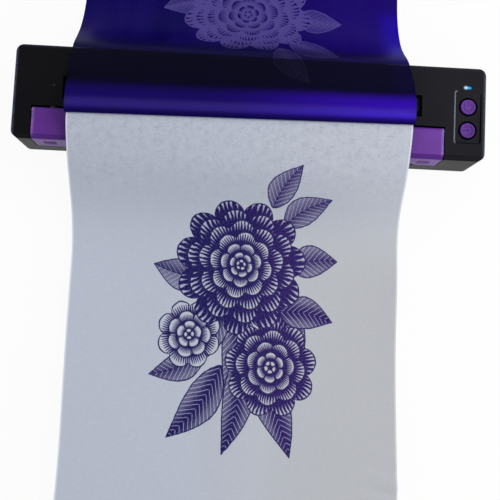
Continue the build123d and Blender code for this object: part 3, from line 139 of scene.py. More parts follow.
def blend_colours(tree, share, first, second):
    """first where share is 0, second where it is 1."""
    step = tree.nodes.new("ShaderNodeMix")
    step.data_type = "RGBA"
    feed(tree, step.inputs[0], share)
    for socket, colour in ((step.inputs[6], first), (step.inputs[7], second)):
        feed(tree, socket, colour if isinstance(colour, bpy.types.NodeSocket) else (*colour, 1.0))
    return step.outputs[2]


def laid_over(tree, under, colour, *masks):
    """The colour laid over the one under it, as far as the product of the masks."""
    share = masks[0]
    for mask in masks[1:]:
        share = work(tree, "MULTIPLY", share, mask)
    return blend_colours(tree, share, under, colour)


def spots(tree, vector, scale=1.0, detail=2.0, roughness=0.5, distortion=0.0):
    """Cloudy noise with about scale spots to the metre."""
    noise = tree.nodes.new("ShaderNodeTexNoise")
    join(tree, noise.inputs, Vector=vector, Scale=scale, Detail=detail, Roughness=roughness)
    join(tree, noise.inputs, Distortion=distortion)
    return noise.outputs[0]


def mapped(tree, vector, scale=(1.0, 1.0, 1.0), shift=(0.0, 0.0, 0.0), turn=0.0):
    """The vector times a scale along each axis, then turned about Z, then shifted."""
    step = tree.nodes.new("ShaderNodeMapping")
    join(tree, step.inputs, Vector=vector, Location=shift, Rotation=(0.0, 0.0, turn), Scale=scale)
    return step.outputs[0]


def axes(tree, vector):
    """The X, Y and Z of a vector."""
    step = tree.nodes.new("ShaderNodeSeparateXYZ")
    tree.links.new(vector, step.inputs[0])
    return step.outputs[0], step.outputs[1], step.outputs[2]


def on_object(tree):
    """Place on the object, in metres in the frame of the whole printer."""
    return tree.nodes.new("ShaderNodeTexCoord").outputs["Object"]


def relief(tree, shader, height, strength, distance):
    """Bump from a height that goes from 0 to 1, distance metres deep."""
    bump = tree.nodes.new("ShaderNodeBump")
    join(tree, bump.inputs, Strength=strength, Distance=distance, Height=height)
    tree.links.new(bump.outputs[0], shader.inputs["Normal"])


def new_effect(name, inputs, outputs):
    """An empty shader node group; gives the group, its given sockets and its result sockets."""
    group = bpy.data.node_groups.new(name, "ShaderNodeTree")
    for label, start in inputs:
        kind = "NodeSocketVector" if start is None else "NodeSocketFloat"
        socket = group.interface.new_socket(name=label, in_out="INPUT", socket_type=kind)
        if start is not None:
            socket.default_value = start
    for label in outputs:
        group.interface.new_socket(name=label, in_out="OUTPUT", socket_type="NodeSocketFloat")
    return group, group.nodes.new("NodeGroupInput").outputs, group.nodes.new("NodeGroupOutput").inputs


def effect(tree, group, **given):
    """Places a group in a tree with the given inputs, and gives its outputs."""
    placed = tree.nodes.new("ShaderNodeGroup")
    placed.node_tree = group
    join(tree, placed.inputs, **given)
    return placed.outputs


def dress(material, *names):
    """Gives the material to the named solids."""
    for name in names:
        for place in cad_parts[name].material_slots:
            place.material = material


# moulded_skin: fine grain of a spark-eroded mould, and slow changes of gloss.
moulded_skin, given, result = new_effect(
    "moulded_skin", [("Vector", None), ("Grains", 2200.0), ("Clouds", 26.0)], ["Height", "Gloss", "Shade"]
)
_, times, plus, _, ramp = steps(moulded_skin)
grain = spots(moulded_skin, given["Vector"], given["Grains"], 2.0, 0.6)
cloud = spots(moulded_skin, given["Vector"], given["Clouds"], 5.0, 0.55)
join(moulded_skin, result, Height=grain)
clouds_part = times(cloud, CLOUDS_IN_GLOSS)
grains_part = times(grain, 1.0 - CLOUDS_IN_GLOSS)
join(moulded_skin, result, Gloss=plus(clouds_part, grains_part), Shade=ramp(cloud, 0.3, 0.7))

# Edge mask: 1 along the edges of a box centred on the origin, where two of
# its faces are near, broken up by noise. Its paler edges stand for rubbing and for a painted highlight.
edge_wear_and_highlight, given, result = new_effect(
    "edge_wear_and_highlight",
    [("Vector", None), ("Half Length", 0.155), ("Half Depth", 0.031), ("Top", 0.041)],
    ["Mask"],
)
reckon, times, _, minus, ramp = steps(edge_wear_and_highlight)
near = []
for way, limit in zip(axes(edge_wear_and_highlight, given["Vector"]), ("Half Length", "Half Depth", "Top")):
    near.append(ramp(minus(given[limit], reckon("ABSOLUTE", way)), *EDGE_REACH))
upright, long_edge, short_edge = [times(near[a], near[b]) for a, b in ((0, 1), (1, 2), (0, 2))]
soft_edges = times(reckon("MAXIMUM", upright, long_edge), LONG_EDGE_SHARE)
edges = reckon("MAXIMUM", soft_edges, short_edge)
broken = ramp(spots(edge_wear_and_highlight, given["Vector"], 320.0, 4.0, 0.6), 0.42, 0.62, 0.6, 1.0)
join(edge_wear_and_highlight, result, Mask=times(edges, broken))

# dust_specks: a few round specks, the ones whose random share is over the
# given rarity, at the middles of the cells of a Voronoi pattern.
dust_specks, given, result = new_effect(
    "dust_specks", [("Vector", None), ("Cells", 70.0), ("Size", 0.018), ("Rarity", 0.72)], ["Mask"]
)
reckon, times, _, _, _ = steps(dust_specks)
cells = dust_specks.nodes.new("ShaderNodeTexVoronoi")
join(dust_specks, cells.inputs, Vector=given["Vector"], Scale=given["Cells"])
chance = dust_specks.nodes.new("ShaderNodeSeparateColor")
dust_specks.links.new(cells.outputs["Color"], chance.inputs[0])
small = reckon("LESS_THAN", cells.outputs["Distance"], given["Size"])
picked = reckon("GREATER_THAN", chance.outputs[0], given["Rarity"])
join(dust_specks, result, Mask=times(small, picked))


def moulded(
    name, colour, roughness, level, grains=2200.0, worn=(0.06, 0.06, 0.06), dusty=1.0, ends=(0.0, 0.155),
    painted_light_right=None,
):
    """Moulded plastic: grain, clouded gloss, edges that are paler by worn, from rubbing and a painted
    highlight, and a few specks of dust. ends is the middle along X of the part, and half its length.
    The last argument is the colour of painted light that the plain surface goes to at the right end."""
    material, tree, shader = new_finish(name, colour, roughness, Specular_IOR_Level=level)
    place = on_object(tree)
    skin = effect(tree, moulded_skin, Vector=place, Grains=grains)
    centred = mapped(tree, place, shift=(-ends[0], 0.0, 0.0))
    edge_wear_and_highlight_mask = effect(tree, edge_wear_and_highlight, Vector=centred, Half_Length=ends[1])["Mask"]
    dust = effect(tree, dust_specks, Vector=place)["Mask"]
    deep, pale = [tuple(min(1.0, share * c) for c in colour) for share in (0.86, 1.1)]
    base = blend_colours(tree, skin["Shade"], deep, pale)
    # Painted light: the plain surface is painted lighter towards the right end.
    if painted_light_right:
        base = laid_over(tree, base, painted_light_right, fade(tree, axes(tree, place)[0], *PAINTED_LIGHT_SPAN))
    # Edges painted paler, for rubbing and as a painted highlight.
    base = laid_over(tree, base, tuple(min(1.0, c + w) for c, w in zip(colour, worn)), edge_wear_and_highlight_mask)
    base = laid_over(tree, base, DUST_GREY, dust, 0.6 * dusty)
    gloss = fade(tree, skin["Gloss"], 0.2, 0.8, roughness + 0.07, roughness - 0.07)
    join(tree, shader.inputs, Base_Color=base, Roughness=gloss)
    relief(tree, shader, skin["Height"], 0.35, 0.00006)
    return material


black_shell = moulded("black_shell", BLACK_ABS, 0.42, 0.055, worn=BLUE_GREY_RUB_AND_HIGHLIGHT, painted_light_right=BLACK_ABS_PAINTED_LIGHT_AT_RIGHT)
dress(black_shell, "top_housing", "bottom_housing")

# Feet and body screws: four pads of black rubber pressed into the base, and
# five blackened self-tapping screws with cross slots beside them.
foot_rubber = moulded("foot_rubber", (0.012, 0.012, 0.012), 0.75, level=0.3, grains=900.0)
dress(foot_rubber, "rubber_feet")


def metal(name, colour, roughness, stretch, depth=0.00002, worn=0.12):
    """Drawn, turned or rolled metal: fine lines, stretched along one axis, in colour, gloss and relief."""
    material, tree, shader = new_finish(name, colour, roughness, Metallic=1.0)
    lines = spots(tree, mapped(tree, on_object(tree), stretch), 1.0, 3.0, 0.6)
    dark = tuple(c * (1.0 - worn) for c in colour)
    join(tree, shader.inputs, Base_Color=blend_colours(tree, fade(tree, lines, 0.3, 0.7), dark, colour))
    join(tree, shader.inputs, Roughness=fade(tree, lines, 0.25, 0.75, roughness + 0.08, roughness - 0.08))
    relief(tree, shader, lines, 0.4, depth)
    return material


black_screw = metal("black_screw", (0.07, 0.07, 0.075), 0.4, stretch=(900.0, 900.0, 300.0))
dress(black_screw, "housing_screws")

# Cover: a purple moulded shell along the front edge, with a bevel painted darker
# as painted shade, grip ridges at both ends, and edges paler from rubbing and a
# painted highlight. It turns on two steel pins, and a black ribbed frame screwed
# into it carries the roller.
PURPLE_ABS = (0.135, 0.034, 0.3)
PURPLE_RUB_AND_HIGHLIGHT = (0.12, 0.11, 0.14)
PURPLE_BEVEL_PAINTED_SHADE = (0.045, 0.008, 0.15)
BEVEL_FRONT_OF = (-0.028, -0.0285)
BEVEL_ABOVE = (0.0378, 0.0383)
cover_low, cover_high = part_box("cover_shell")
purple_shell = moulded(
    "purple_shell", PURPLE_ABS, 0.38, 0.1, grains=2600.0, worn=PURPLE_RUB_AND_HIGHLIGHT, dusty=0.4,
    ends=((cover_low[0] + cover_high[0]) / 2, (cover_high[0] - cover_low[0]) / 2),
)
dress(purple_shell, "cover_shell")
tree = purple_shell.node_tree
_, back, up = axes(tree, on_object(tree))
base = tree.nodes["Principled BSDF"].inputs["Base Color"]
# Painted shade: the bevel along the front edge is painted darker.
bevel_painted_shade = (fade(tree, back, *BEVEL_FRONT_OF), fade(tree, up, *BEVEL_ABOVE, 0.0, 0.55))
tree.links.new(laid_over(tree, base.links[0].from_socket, PURPLE_BEVEL_PAINTED_SHADE, *bevel_painted_shade), base)
black_inner = moulded("black_inner", (0.018, 0.018, 0.02), 0.5, level=0.3, grains=1500.0)
dress(black_inner, "cover_inner_frame", "lower_paper_guide", "battery_tray")
drawn_steel = metal("drawn_steel", (0.56, 0.57, 0.58), 0.28, stretch=(60.0, 2600.0, 2600.0))
dress(
    drawn_steel, "hinge_pin_left", "hinge_pin_right", "cover_screws", "platen_shaft", "gear_stud",
    "motor_shaft", "head_pivot_pins", "motor_screws", "board_screws", "usb_c_socket",
)

# Print head springs: three coils of drawn steel wire between the chassis
# plate and the head's bracket, which press the head on the roller. They
# shorten as the head swings back.
SPRING_WIRE = 0.0006
SPRING_TURNS = 4
SPRING_STEP = 0.065
STEPS_A_TURN = 24
WIRE_SIDES = 8
spring_low, spring_high = np.array(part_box("head_springs"))
spring_middle = (spring_low + spring_high) / 2
coil_radius = (spring_high[2] - spring_low[2] - SPRING_WIRE) / 2
coil_rise = spring_high[1] - spring_low[1] - SPRING_WIRE


def coiled_wire(turn, round_wire):
    """Wire of radius r on a helix of radius R about Y: its middle is at R (cos t, sin t) with t the
    turn, and rises evenly. Round the wire, the skin stands off it by r cos u outwards and by r sin u
    along the cross product of the wire's direction and outwards."""
    lead = coil_rise / (2 * np.pi * SPRING_TURNS)
    out = np.stack([np.cos(turn), np.zeros_like(turn), np.sin(turn)], axis=1)
    over = np.stack([lead * np.sin(turn), np.full_like(turn, coil_radius), -lead * np.cos(turn)], axis=1)
    over /= np.linalg.norm(over, axis=1)[:, None]
    middle = out * coil_radius + np.stack([0 * turn, lead * turn - coil_rise / 2, 0 * turn], axis=1)
    outwards = np.cos(round_wire)[None, :, None] * out[:, None, :]
    sideways = np.sin(round_wire)[None, :, None] * over[:, None, :]
    return middle[:, None, :] + (outwards + sideways) * SPRING_WIRE / 2


def tube_faces(rows, around, start=0):
    """Faces of a tube of rings of points, numbered from start: quads between neighbouring rings, and
    a cap at each end."""
    index = start + np.arange(rows * around).reshape(rows, around)
    onward = np.roll(index, -1, axis=1)
    quads = np.stack([index[:-1], onward[:-1], onward[1:], index[1:]], axis=2).reshape(-1, 4)
    return [*quads.tolist(), index[0, ::-1].tolist(), index[-1].tolist()]


def new_piece(name, points, faces, material):
    """A smooth mesh of points and faces, as an object in the scene."""
    mesh = bpy.data.meshes.new(name)
    mesh.from_pydata(points.reshape(-1, 3), [], faces)
    mesh.polygons.foreach_set("use_smooth", np.ones(len(mesh.polygons), bool))
    mesh.materials.append(material)
    return put_in_scene(name, mesh)


turns = np.linspace(0.0, 2 * np.pi * SPRING_TURNS, STEPS_A_TURN * SPRING_TURNS + 1)
coil = coiled_wire(turns, np.linspace(0.0, 2 * np.pi, WIRE_SIDES + 1)[:-1])
springs = new_piece(
    "head_spring_coils",
    np.stack([coil + spring_middle + (step, 0.0, 0.0) for step in (-SPRING_STEP, 0.0, SPRING_STEP)]),
    sum((tube_faces(*coil.shape[:2], start=k * coil.shape[0] * coil.shape[1]) for k in range(3)), []),
    drawn_steel,
)
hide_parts("head_springs")
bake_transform(springs)

# Buttons: two round purple keys with dished tops in the sunken pad, the rear
# one marked for power and the front one for feeding the sheet. The marks are
# low dark lines printed on the dish, and a bead runs round it. A flat black
# ring round each key on the pad is painted shade.
PURPLE_KEY = (0.108, 0.031, 0.262)
PURPLE_MARK = (0.07, 0.018, 0.175)
UNWORN = (0.0, 0.0, 0.0)
KEY_DISH = 0.0004
KEY_BEAD_RADIUS, KEY_SHADE_RING_RADIUS = 0.0038, 0.00575
MARK_LINE, KEY_BEAD, KEY_SHADE_RING = (0.00062, 0.0001), (0.0007, 0.00028), (0.0011, 0.0001)
PAD_FRONT_FLOOR = 0.04
PAD_SLOPE = 0.00085 / 0.0349
PAD_FRONT_Y = -0.0199
FLOOR_OVERLAP = 0.00002
purple_key = moulded("purple_key", PURPLE_KEY, 0.34, 0.08, grains=3000.0, dusty=0.0)
dress(purple_key, "power_button", "feed_button")
mark_purple = moulded("mark_purple", PURPLE_MARK, 0.5, 0.1, grains=3000.0, dusty=0.0)
painted_shade_black = moulded("painted_shade_black", (0.0012, 0.0007, 0.0028), 0.8, 0.01, worn=UNWORN, dusty=0.0)


def raised_line(name, path, width, height, floor, material, slot, body):
    """A half-round carried along a flat path: at each point of the path the profile is
    width/2 * cos(a) to the side and height * sin(a) up from the floor there, for a from 0 to 180
    degrees, and it closes to a point half a width past both ends."""
    path = np.array(path, float)
    slope = np.gradient(path, axis=0)
    slope /= np.linalg.norm(slope, axis=1)[:, None]
    path = np.vstack([path[:1] - slope[:1] * width / 2, path, path[-1:] + slope[-1:] * width / 2])
    slope = np.vstack([slope[:1], slope, slope[-1:]])
    floor = np.broadcast_to(floor, len(path) - 2)
    floor = np.concatenate([floor[:1], floor, floor[-1:]])[:, None]
    side = np.stack([-slope[:, 1], slope[:, 0]], axis=1)
    share = np.ones(len(path))
    share[[0, -1]] = 0.02
    angle = np.linspace(0.0, np.pi, 7)
    aside = share[:, None] * np.cos(angle) * width / 2
    x = path[:, 0, None] + side[:, 0, None] * aside
    y = path[:, 1, None] + side[:, 1, None] * aside
    z = floor + share[:, None] * np.sin(angle) * height
    piece = new_piece(name, np.stack([x, y, z], axis=2), tube_faces(len(path), len(angle)), material)
    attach(piece, body)


def pad_floor(y):
    """Height of the sloping floor of the pad, less a little, so that what lies on it is bedded in."""
    return PAD_FRONT_FLOOR + PAD_SLOPE * (y - PAD_FRONT_Y) - FLOOR_OVERLAP


def circle(start, end, count):
    """Points of a circle of radius 1, from start to end in degrees."""
    turns = np.radians(np.linspace(start, end, count))
    return np.stack([np.cos(turns), np.sin(turns)], axis=1)


full_circle = circle(0.0, 360.0, 61)
KEY_MARKS_MM = {
    "power": {
        "ring": 2.6 * circle(55, -235, 41),
        "bar": [(0, 3.3), (0, 1.8), (0, 0.2)],
    },
    "feed": {
        "page": [(-2.2, 2.2), (0, 2.2), (2.2, 2.2), (2.6, 1.8), (2.6, -1.8), (2.2, -2.2), (0.8, -2.2)],
        "stem": [(1, 0), (-0.8, 0), (-2.8, 0)],
        "barb": [(0, 1.3), (1.3, 0), (0, -1.3)],
    },
}
for key, marks in KEY_MARKS_MM.items():
    key_low, key_high = np.array(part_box(f"{key}_button"))
    middle = (key_low[:2] + key_high[:2]) / 2
    dish = key_high[2] - KEY_DISH - 0.00001
    body = f"{key}_key"
    for mark, path in marks.items():
        path = middle + np.array(path) / 1000
        raised_line(f"{body}_{mark}", path, *MARK_LINE, dish, mark_purple, "purple_shell", body)
    bead = middle + full_circle * KEY_BEAD_RADIUS
    raised_line(f"{body}_bead", bead, *KEY_BEAD, dish, purple_key, "purple_shell", body)
    # Painted shade: a flat black ring round the key, on the pad floor.
    shade_ring = middle + full_circle * KEY_SHADE_RING_RADIUS
    shade_ring_floor = pad_floor(shade_ring[:, 1])
    raised_line(f"{body}_well", shade_ring, *KEY_SHADE_RING, shade_ring_floor, painted_shade_black, "black_shell", "housing")

# Pad lip: the rounded left edge of the sunken pad, painted pale blue-grey as a
# painted highlight, and a thin black line of painted shade at the foot of its front and right walls.
LIP_PAINTED_HIGHLIGHT = (0.085, 0.1, 0.135)
LIP_FLOOR = 0.04098
LIP_LINE, WALL_SHADE_LINE = (0.0011, 0.0003), (0.0008, 0.0001)
LIP_MM = [
    (135.6, 15), (134.9, 14.9), (134.4, 14.4), (134.3, 13.5), (134.3, -3), (134.3, -18), (134.4, -19),
    (134.85, -19.6),
]
WALL_SHADE_MM = [
    (135, -19.3), (136.4, -19.6), (144, -19.6), (150, -19.6), (151.1, -19.4), (151.6, -18.8),
    (151.7, -17.8), (151.7, 0), (151.7, 13.5),
]
lip_painted_highlight = moulded("lip_painted_highlight", LIP_PAINTED_HIGHLIGHT, 0.3, 0.5, worn=UNWORN, dusty=0.3)
lip, wall_shade = np.array(LIP_MM) / 1000, np.array(WALL_SHADE_MM) / 1000
# Painted highlight: the lip is painted pale blue-grey.
raised_line("pad_lip", lip, *LIP_LINE, LIP_FLOOR, lip_painted_highlight, "black_shell", "housing")
# Painted shade: a thin black line at the foot of the pad's front and right walls.
wall_shade_floor = pad_floor(wall_shade[:, 1])
raised_line("pad_wall_shade", wall_shade, *WALL_SHADE_LINE, wall_shade_floor, painted_shade_black, "black_shell", "housing")

# Status lamp: a small lit diode under a clear window, flush with the top.
# Two chips behind it show as a pale spot on the left and a blue one beside it.
LAMP_MIDDLE = (0.1426, 0.0176)
PALE_CHIP = (-0.0012, 0.0, 0.001, 0.0008)
BLUE_CHIP = (0.0012, -0.0001, 0.0012, 0.0007)
LAMP_GROUND, LAMP_BLUE, LAMP_PALE = (0.0, 0.008, 0.05), (0.02, 0.5, 1.0), (0.62, 0.95, 1.0)


def lit(name, strength):
    """Clear plastic lit from behind: a bell-shaped spot over each chip, exp(-a^2 - b^2) of the
    distances a and b from its middle, in its widths and heights, in a dark blue ground."""
    material, tree, shader = new_finish(
        name, (0.0, 0.004, 0.02), 0.5, Emission_Strength=strength, Specular_IOR_Level=0.02
    )
    reckon, times, plus, minus, _ = steps(tree)
    right, back, _ = axes(tree, on_object(tree))
    bells = []
    for x, y, wide, tall in (PALE_CHIP, BLUE_CHIP):
        a = reckon("DIVIDE", minus(right, LAMP_MIDDLE[0] + x), wide)
        b = reckon("DIVIDE", minus(back, LAMP_MIDDLE[1] + y), tall)
        away = plus(times(a, a), times(b, b))
        bells.append(reckon("EXPONENT", times(away, -1.0)))
    glow = blend_colours(tree, bells[1], LAMP_GROUND, LAMP_BLUE)
    glow = laid_over(tree, glow, LAMP_PALE, reckon("POWER", bells[0], 0.8))
    join(tree, shader.inputs, Emission_Color=glow)
    return material


dress(lit("lit_window", 1.15), "light_pipe")
dress(lit("lit_diode", 1.5), "status_led")

# Roller: a black rubber sleeve, ground round, on a steel shaft in two brass
# bushes, with a nylon gear at its left end. Gears and pinion mesh beside it.
RUBBER_DARK, RUBBER_PALE = (0.022, 0.022, 0.024), (0.042, 0.042, 0.044)
roller_rubber, tree, shader = new_finish("roller_rubber", (0.03, 0.03, 0.032), 0.7)
rings = spots(tree, mapped(tree, on_object(tree), (3000.0, 200.0, 200.0)))
join(tree, shader.inputs, Base_Color=blend_colours(tree, rings, RUBBER_DARK, RUBBER_PALE))
join(tree, shader.inputs, Roughness=fade(tree, rings, 0.2, 0.8, 0.62, 0.8))
relief(tree, shader, rings, 0.3, 0.00003)
dress(roller_rubber, "platen_sleeve")
turned_brass = metal("turned_brass", (0.74, 0.52, 0.22), 0.26, stretch=(2400.0, 300.0, 300.0))
dress(turned_brass, "platen_bush_left", "platen_bush_right", "motor_pinion")
nylon = moulded("nylon", (0.72, 0.71, 0.66), 0.45, level=0.5, grains=1200.0, worn=UNWORN)
dress(nylon, "platen_gear", "compound_gear")

# Drive: a round steel stepper motor on an upright zinc-plated plate. The same
# rolled sheet makes the chassis plate and the bracket of the print head.
motor_can = metal("motor_can", (0.46, 0.47, 0.48), 0.34, stretch=(1800.0, 160.0, 160.0))
dress(motor_can, "stepper_motor")
zinc_plate = metal("zinc_plate", (0.5, 0.5, 0.47), 0.36, stretch=(120.0, 500.0, 900.0), worn=0.25)
dress(zinc_plate, "gear_plate", "chassis_plate", "head_bracket")

# Print head: an alumina plate with a dark glazed heater line level with the
# roller and gilt leads below it, on an extruded heat sink, under a black
# driver cover.
ALUMINA_DARK, ALUMINA_PALE = (0.66, 0.61, 0.5), (0.76, 0.72, 0.63)
GILT, GLAZE = (0.62, 0.44, 0.18), (0.1, 0.05, 0.03)
HEATER_LINE_UP = 0.026
LEADS_BELOW = (0.0245, 0.024)
LEADS_A_METRE = 1600.0
ceramic, tree, shader = new_finish("ceramic", (0.72, 0.68, 0.58), 0.32)
reckon, times, _, minus, ramp = steps(tree)
place = on_object(tree)
right, _, up = axes(tree, place)
line = ramp(reckon("ABSOLUTE", minus(up, HEATER_LINE_UP)), 0.0007, 0.0005)
leads = reckon("GREATER_THAN", reckon("FRACT", times(right, LEADS_A_METRE)), 0.5)
below = times(leads, ramp(up, *LEADS_BELOW))
alumina = blend_colours(tree, spots(tree, place, 300.0, 3.0), ALUMINA_DARK, ALUMINA_PALE)
alumina = laid_over(tree, alumina, GILT, below, 0.7)
join(tree, shader.inputs, Base_Color=laid_over(tree, alumina, GLAZE, line))
dress(ceramic, "head_ceramic")
extruded = metal("extruded_aluminium", (0.66, 0.67, 0.68), 0.34, stretch=(40.0, 1500.0, 1500.0))
dress(extruded, "head_heatsink")
chip_black = moulded("chip_black", (0.02, 0.02, 0.021), 0.55, level=0.3, grains=4000.0)
dress(
    chip_black, "head_driver_cover", "paper_sensor", "board_parts", "tact_switches", "power_switch_plunger",
    "feed_switch_plunger",
)

# Board, battery and leads: a green circuit board with traces under the solder
# mask, two foil-wrapped cells, and black leads and a white flat cable.
MASK_DARK, MASK_PALE, TRACE_GREEN = (0.008, 0.1, 0.04), (0.012, 0.15, 0.06), (0.05, 0.26, 0.1)
STRAND_PALE, STRAND_GREY = (0.74, 0.74, 0.72), (0.52, 0.52, 0.53)
STRANDS_A_METRE = 1000.0
board_green, tree, shader = new_finish("board_green", (0.01, 0.12, 0.05), 0.35)
place = on_object(tree)
bricks = tree.nodes.new("ShaderNodeTexBrick")
join(tree, bricks.inputs, Vector=place, Scale=260.0, Mortar_Size=0.06)
traces = work(tree, "SUBTRACT", 1.0, bricks.outputs["Fac"])
green = blend_colours(tree, spots(tree, place, 90.0), MASK_DARK, MASK_PALE)
join(tree, shader.inputs, Base_Color=laid_over(tree, green, TRACE_GREEN, traces, 0.35))
relief(tree, shader, traces, 0.2, 0.00004)
dress(board_green, "main_board")
foil = metal("cell_foil", (0.6, 0.61, 0.63), 0.3, stretch=(260.0, 260.0, 260.0), depth=0.0002)
dress(foil, "battery_cells")
lead_black = moulded("lead_black", (0.02, 0.02, 0.02), 0.5, level=0.4, grains=1200.0)
dress(lead_black, "battery_lead", "motor_lead")
ribbon_white, tree, shader = new_finish("ribbon_white", (0.7, 0.7, 0.68), 0.4)
reckon, times, _, _, _ = steps(tree)
_, _, up = axes(tree, on_object(tree))
strands = reckon("GREATER_THAN", reckon("FRACT", times(up, STRANDS_A_METRE)), 0.45)
join(tree, shader.inputs, Base_Color=blend_colours(tree, strands, STRAND_PALE, STRAND_GREY))
dress(ribbon_white, "head_ribbon_cable")

# Sheets: a white tissue stencil sheet and a violet carbon film, letter wide.
# They come up out of the nip together, part at the peel line, and fall to the
# table, the white one in front over the cover and the violet one behind.
SHEET_WIDE = 0.222
SHEET_THICK = 0.0002
SHEET_PAIR_GAP = 0.00005
SHEET_MIDDLE = -0.00535
SHARED_STEP, WHITE_STEP, FILM_STEP = 0.0012, 0.002, 0.0018
SHARED_MM = [(-0.575, 24.6), (-0.575, 32), (-1.475, 39), (-4.375, 45.6), (-8.975, 50.2), (-12.575, 52.2)]
WHITE_FALL_MM = [
    (-17.5, 52.5), (-24, 50.4), (-32, 46.6), (-40, 42), (-47, 36.6), (-54, 29.6), (-61, 22.6),
    (-68, 16), (-76, 10), (-85, 5.4), (-95, 2.4), (-107, 1), (-120, 0.7), (-140, 1),
    (-165, 2.2), (-195, 4.4), (-226, 7.4), (-252, 11.6), (-274, 17),
]
FILM_BACK_MM = [
    (-14.3, 54), (-12.6, 56), (-6.5, 57), (3, 55), (13, 50.8), (22, 46), (30, 41.6),
    (35.4, 37.6), (44, 27.6), (52, 19), (63.5, 10.6), (75, 5), (86, 2.2), (98, 0.9),
    (112, 0.5), (160, 0.4), (250, 0.4),
]


def smooth_run(points, step):
    """The curve through the points whose slope at each is half the way from the point before to the
    point after (Catmull-Rom), cut into steps."""
    before = np.vstack([points[:1], points[:-2]])
    after = np.vstack([points[2:], points[-1:]])
    here, there = points[:-1], points[1:]
    cuts = np.maximum(1, np.round(np.linalg.norm(there - here, axis=1) / step)).astype(int)
    run = np.repeat(np.arange(len(cuts)), cuts)
    first_cut = np.repeat(np.cumsum(cuts) - cuts, cuts)
    t = ((np.arange(cuts.sum()) - first_cut + 1) / np.repeat(cuts, cuts))[:, None]
    a, b, c, d = before[run], here[run], there[run], after[run]
    return np.vstack([
        points[:1],
        0.5 * (2 * b + (c - a) * t + (2 * a - 5 * b + 4 * c - d) * t**2 + (3 * b - a - 3 * c + d) * t**3),
    ])


def beside(path, distance):
    """The path moved sideways, to the left of its direction."""
    last = len(path) - 1
    spot = np.arange(len(path))
    way = path[np.minimum(spot + 1, last)] - path[np.maximum(spot - 1, 0)]
    way /= np.linalg.norm(way, axis=1)[:, None]
    return path + np.stack([-way[:, 1], way[:, 0]], axis=1) * distance


def going_on(path, points_mm, step):
    """The path, and on from its end a smooth run through the points."""
    return np.vstack([path, smooth_run(np.vstack([path[-1:], np.array(points_mm) / 1000]), step)[1:]])


def along(path):
    """Distance from the start of the path to each of its points."""
    return np.concatenate([[0.0], np.cumsum(np.linalg.norm(np.diff(path, axis=0), axis=1))])


def ease(value, low, high):
    """3t^2 - 2t^3 of the share t of the way from low to high."""
    t = np.clip((value - low) / (high - low), 0.0, 1.0)
    return t * t * (3 - 2 * t)


half_pair = (SHEET_THICK + SHEET_PAIR_GAP) / 2
shared_run = smooth_run(np.array(SHARED_MM) / 1000, SHARED_STEP)
white_run = going_on(beside(shared_run, half_pair), WHITE_FALL_MM, WHITE_STEP)
film_run = going_on(beside(shared_run, -half_pair), FILM_BACK_MM, FILM_STEP)
to_peel = along(shared_run)[-1]
white_length, film_length = along(white_run)[-1], along(film_run)[-1]


def sheet_shell(name, middle, share, material):
    """A closed thin shell round a surface that is given as rows of points: each side stands half the
    thickness off it, along the cross product of the surface's two slopes. share is how far along the
    sheet each row is."""
    normal = np.cross(np.gradient(middle, axis=1), np.gradient(middle, axis=0))
    normal /= np.linalg.norm(normal, axis=2)[:, :, None]
    points = np.concatenate([middle + normal * SHEET_THICK / 2, middle - normal * SHEET_THICK / 2])
    rows, columns = middle.shape[:2]
    top = np.arange(rows * columns).reshape(rows, columns)
    low = top + rows * columns
    sides = [
        (top[:-1, :-1], top[:-1, 1:], top[1:, 1:], top[1:, :-1]),
        (low[:-1, :-1], low[1:, :-1], low[1:, 1:], low[:-1, 1:]),
        (top[0, :-1], low[0, :-1], low[0, 1:], top[0, 1:]),
        (top[-1, :-1], top[-1, 1:], low[-1, 1:], low[-1, :-1]),
        (top[:-1, 0], top[1:, 0], low[1:, 0], low[:-1, 0]),
        (top[:-1, -1], low[:-1, -1], low[1:, -1], top[1:, -1]),
    ]
    faces = np.concatenate([np.stack(corners, axis=-1).reshape(-1, 4) for corners in sides])
    piece = new_piece(name, points, faces, material)
    mesh = piece.data
    corner = np.empty(len(mesh.loops), int)
    mesh.loops.foreach_get("vertex_index", corner)
    across = np.tile(np.linspace(0.0, 1.0, columns), 2 * rows)
    down = np.tile(np.repeat(share, columns), 2)
    layer = mesh.uv_layers.new(name="sheet")
    layer.data.foreach_set("uv", np.stack([across, down], axis=1)[corner].ravel())
    side = mesh.attributes.new("drawn_side", "FLOAT", "POINT")
    side.data.foreach_set("value", np.repeat([0.0, 1.0], rows * columns).astype(np.float32))
    mesh.set_sharp_from_angle(angle=math.radians(50))
    mesh.update()
    return piece


# petal_ring: one ring of n petals round a middle, in lines, with hatching that
# thins out from foot to tip. At the angle a from the middle the petals reach to
# R (0.8 + 0.2 |cos(n (a + turn) / 2)|^0.7). All lengths are in millimetres.
NOTCH, PETAL_ROUND = 0.2, 0.7
OUTLINE_MM = (0.72, 0.42)
VALLEY_MM = (0.6, 0.32)
HATCH = (0.8, 1.02)
STROKES_A_RING = 74.0
petal_ring, given, result = new_effect(
    "petal_ring",
    [
        ("Vector", None), ("X", 0.0), ("Y", 0.0), ("Reach", 40.0), ("Petals", 8.0), ("Turn", 0.0),
        ("Foot", 0.6),
    ],
    ["Inside", "Ink", "Tone"],
)
reckon, times, plus, minus, ramp = steps(petal_ring)
right, down, _ = axes(petal_ring, given["Vector"])
dx, dy = minus(right, given["X"]), minus(down, given["Y"])
away = reckon("SQRT", plus(times(dx, dx), times(dy, dy)))
angle = plus(reckon("ARCTAN2", dy, dx), given["Turn"])
half_turns = times(times(angle, given["Petals"]), 0.5)
lobe = reckon("ABSOLUTE", reckon("COSINE", half_turns))
tip_share = reckon("MULTIPLY_ADD", reckon("POWER", lobe, PETAL_ROUND), NOTCH, 1.0 - NOTCH)
depth = minus(times(given["Reach"], tip_share), away)
inside = ramp(depth, -0.5, -0.2)
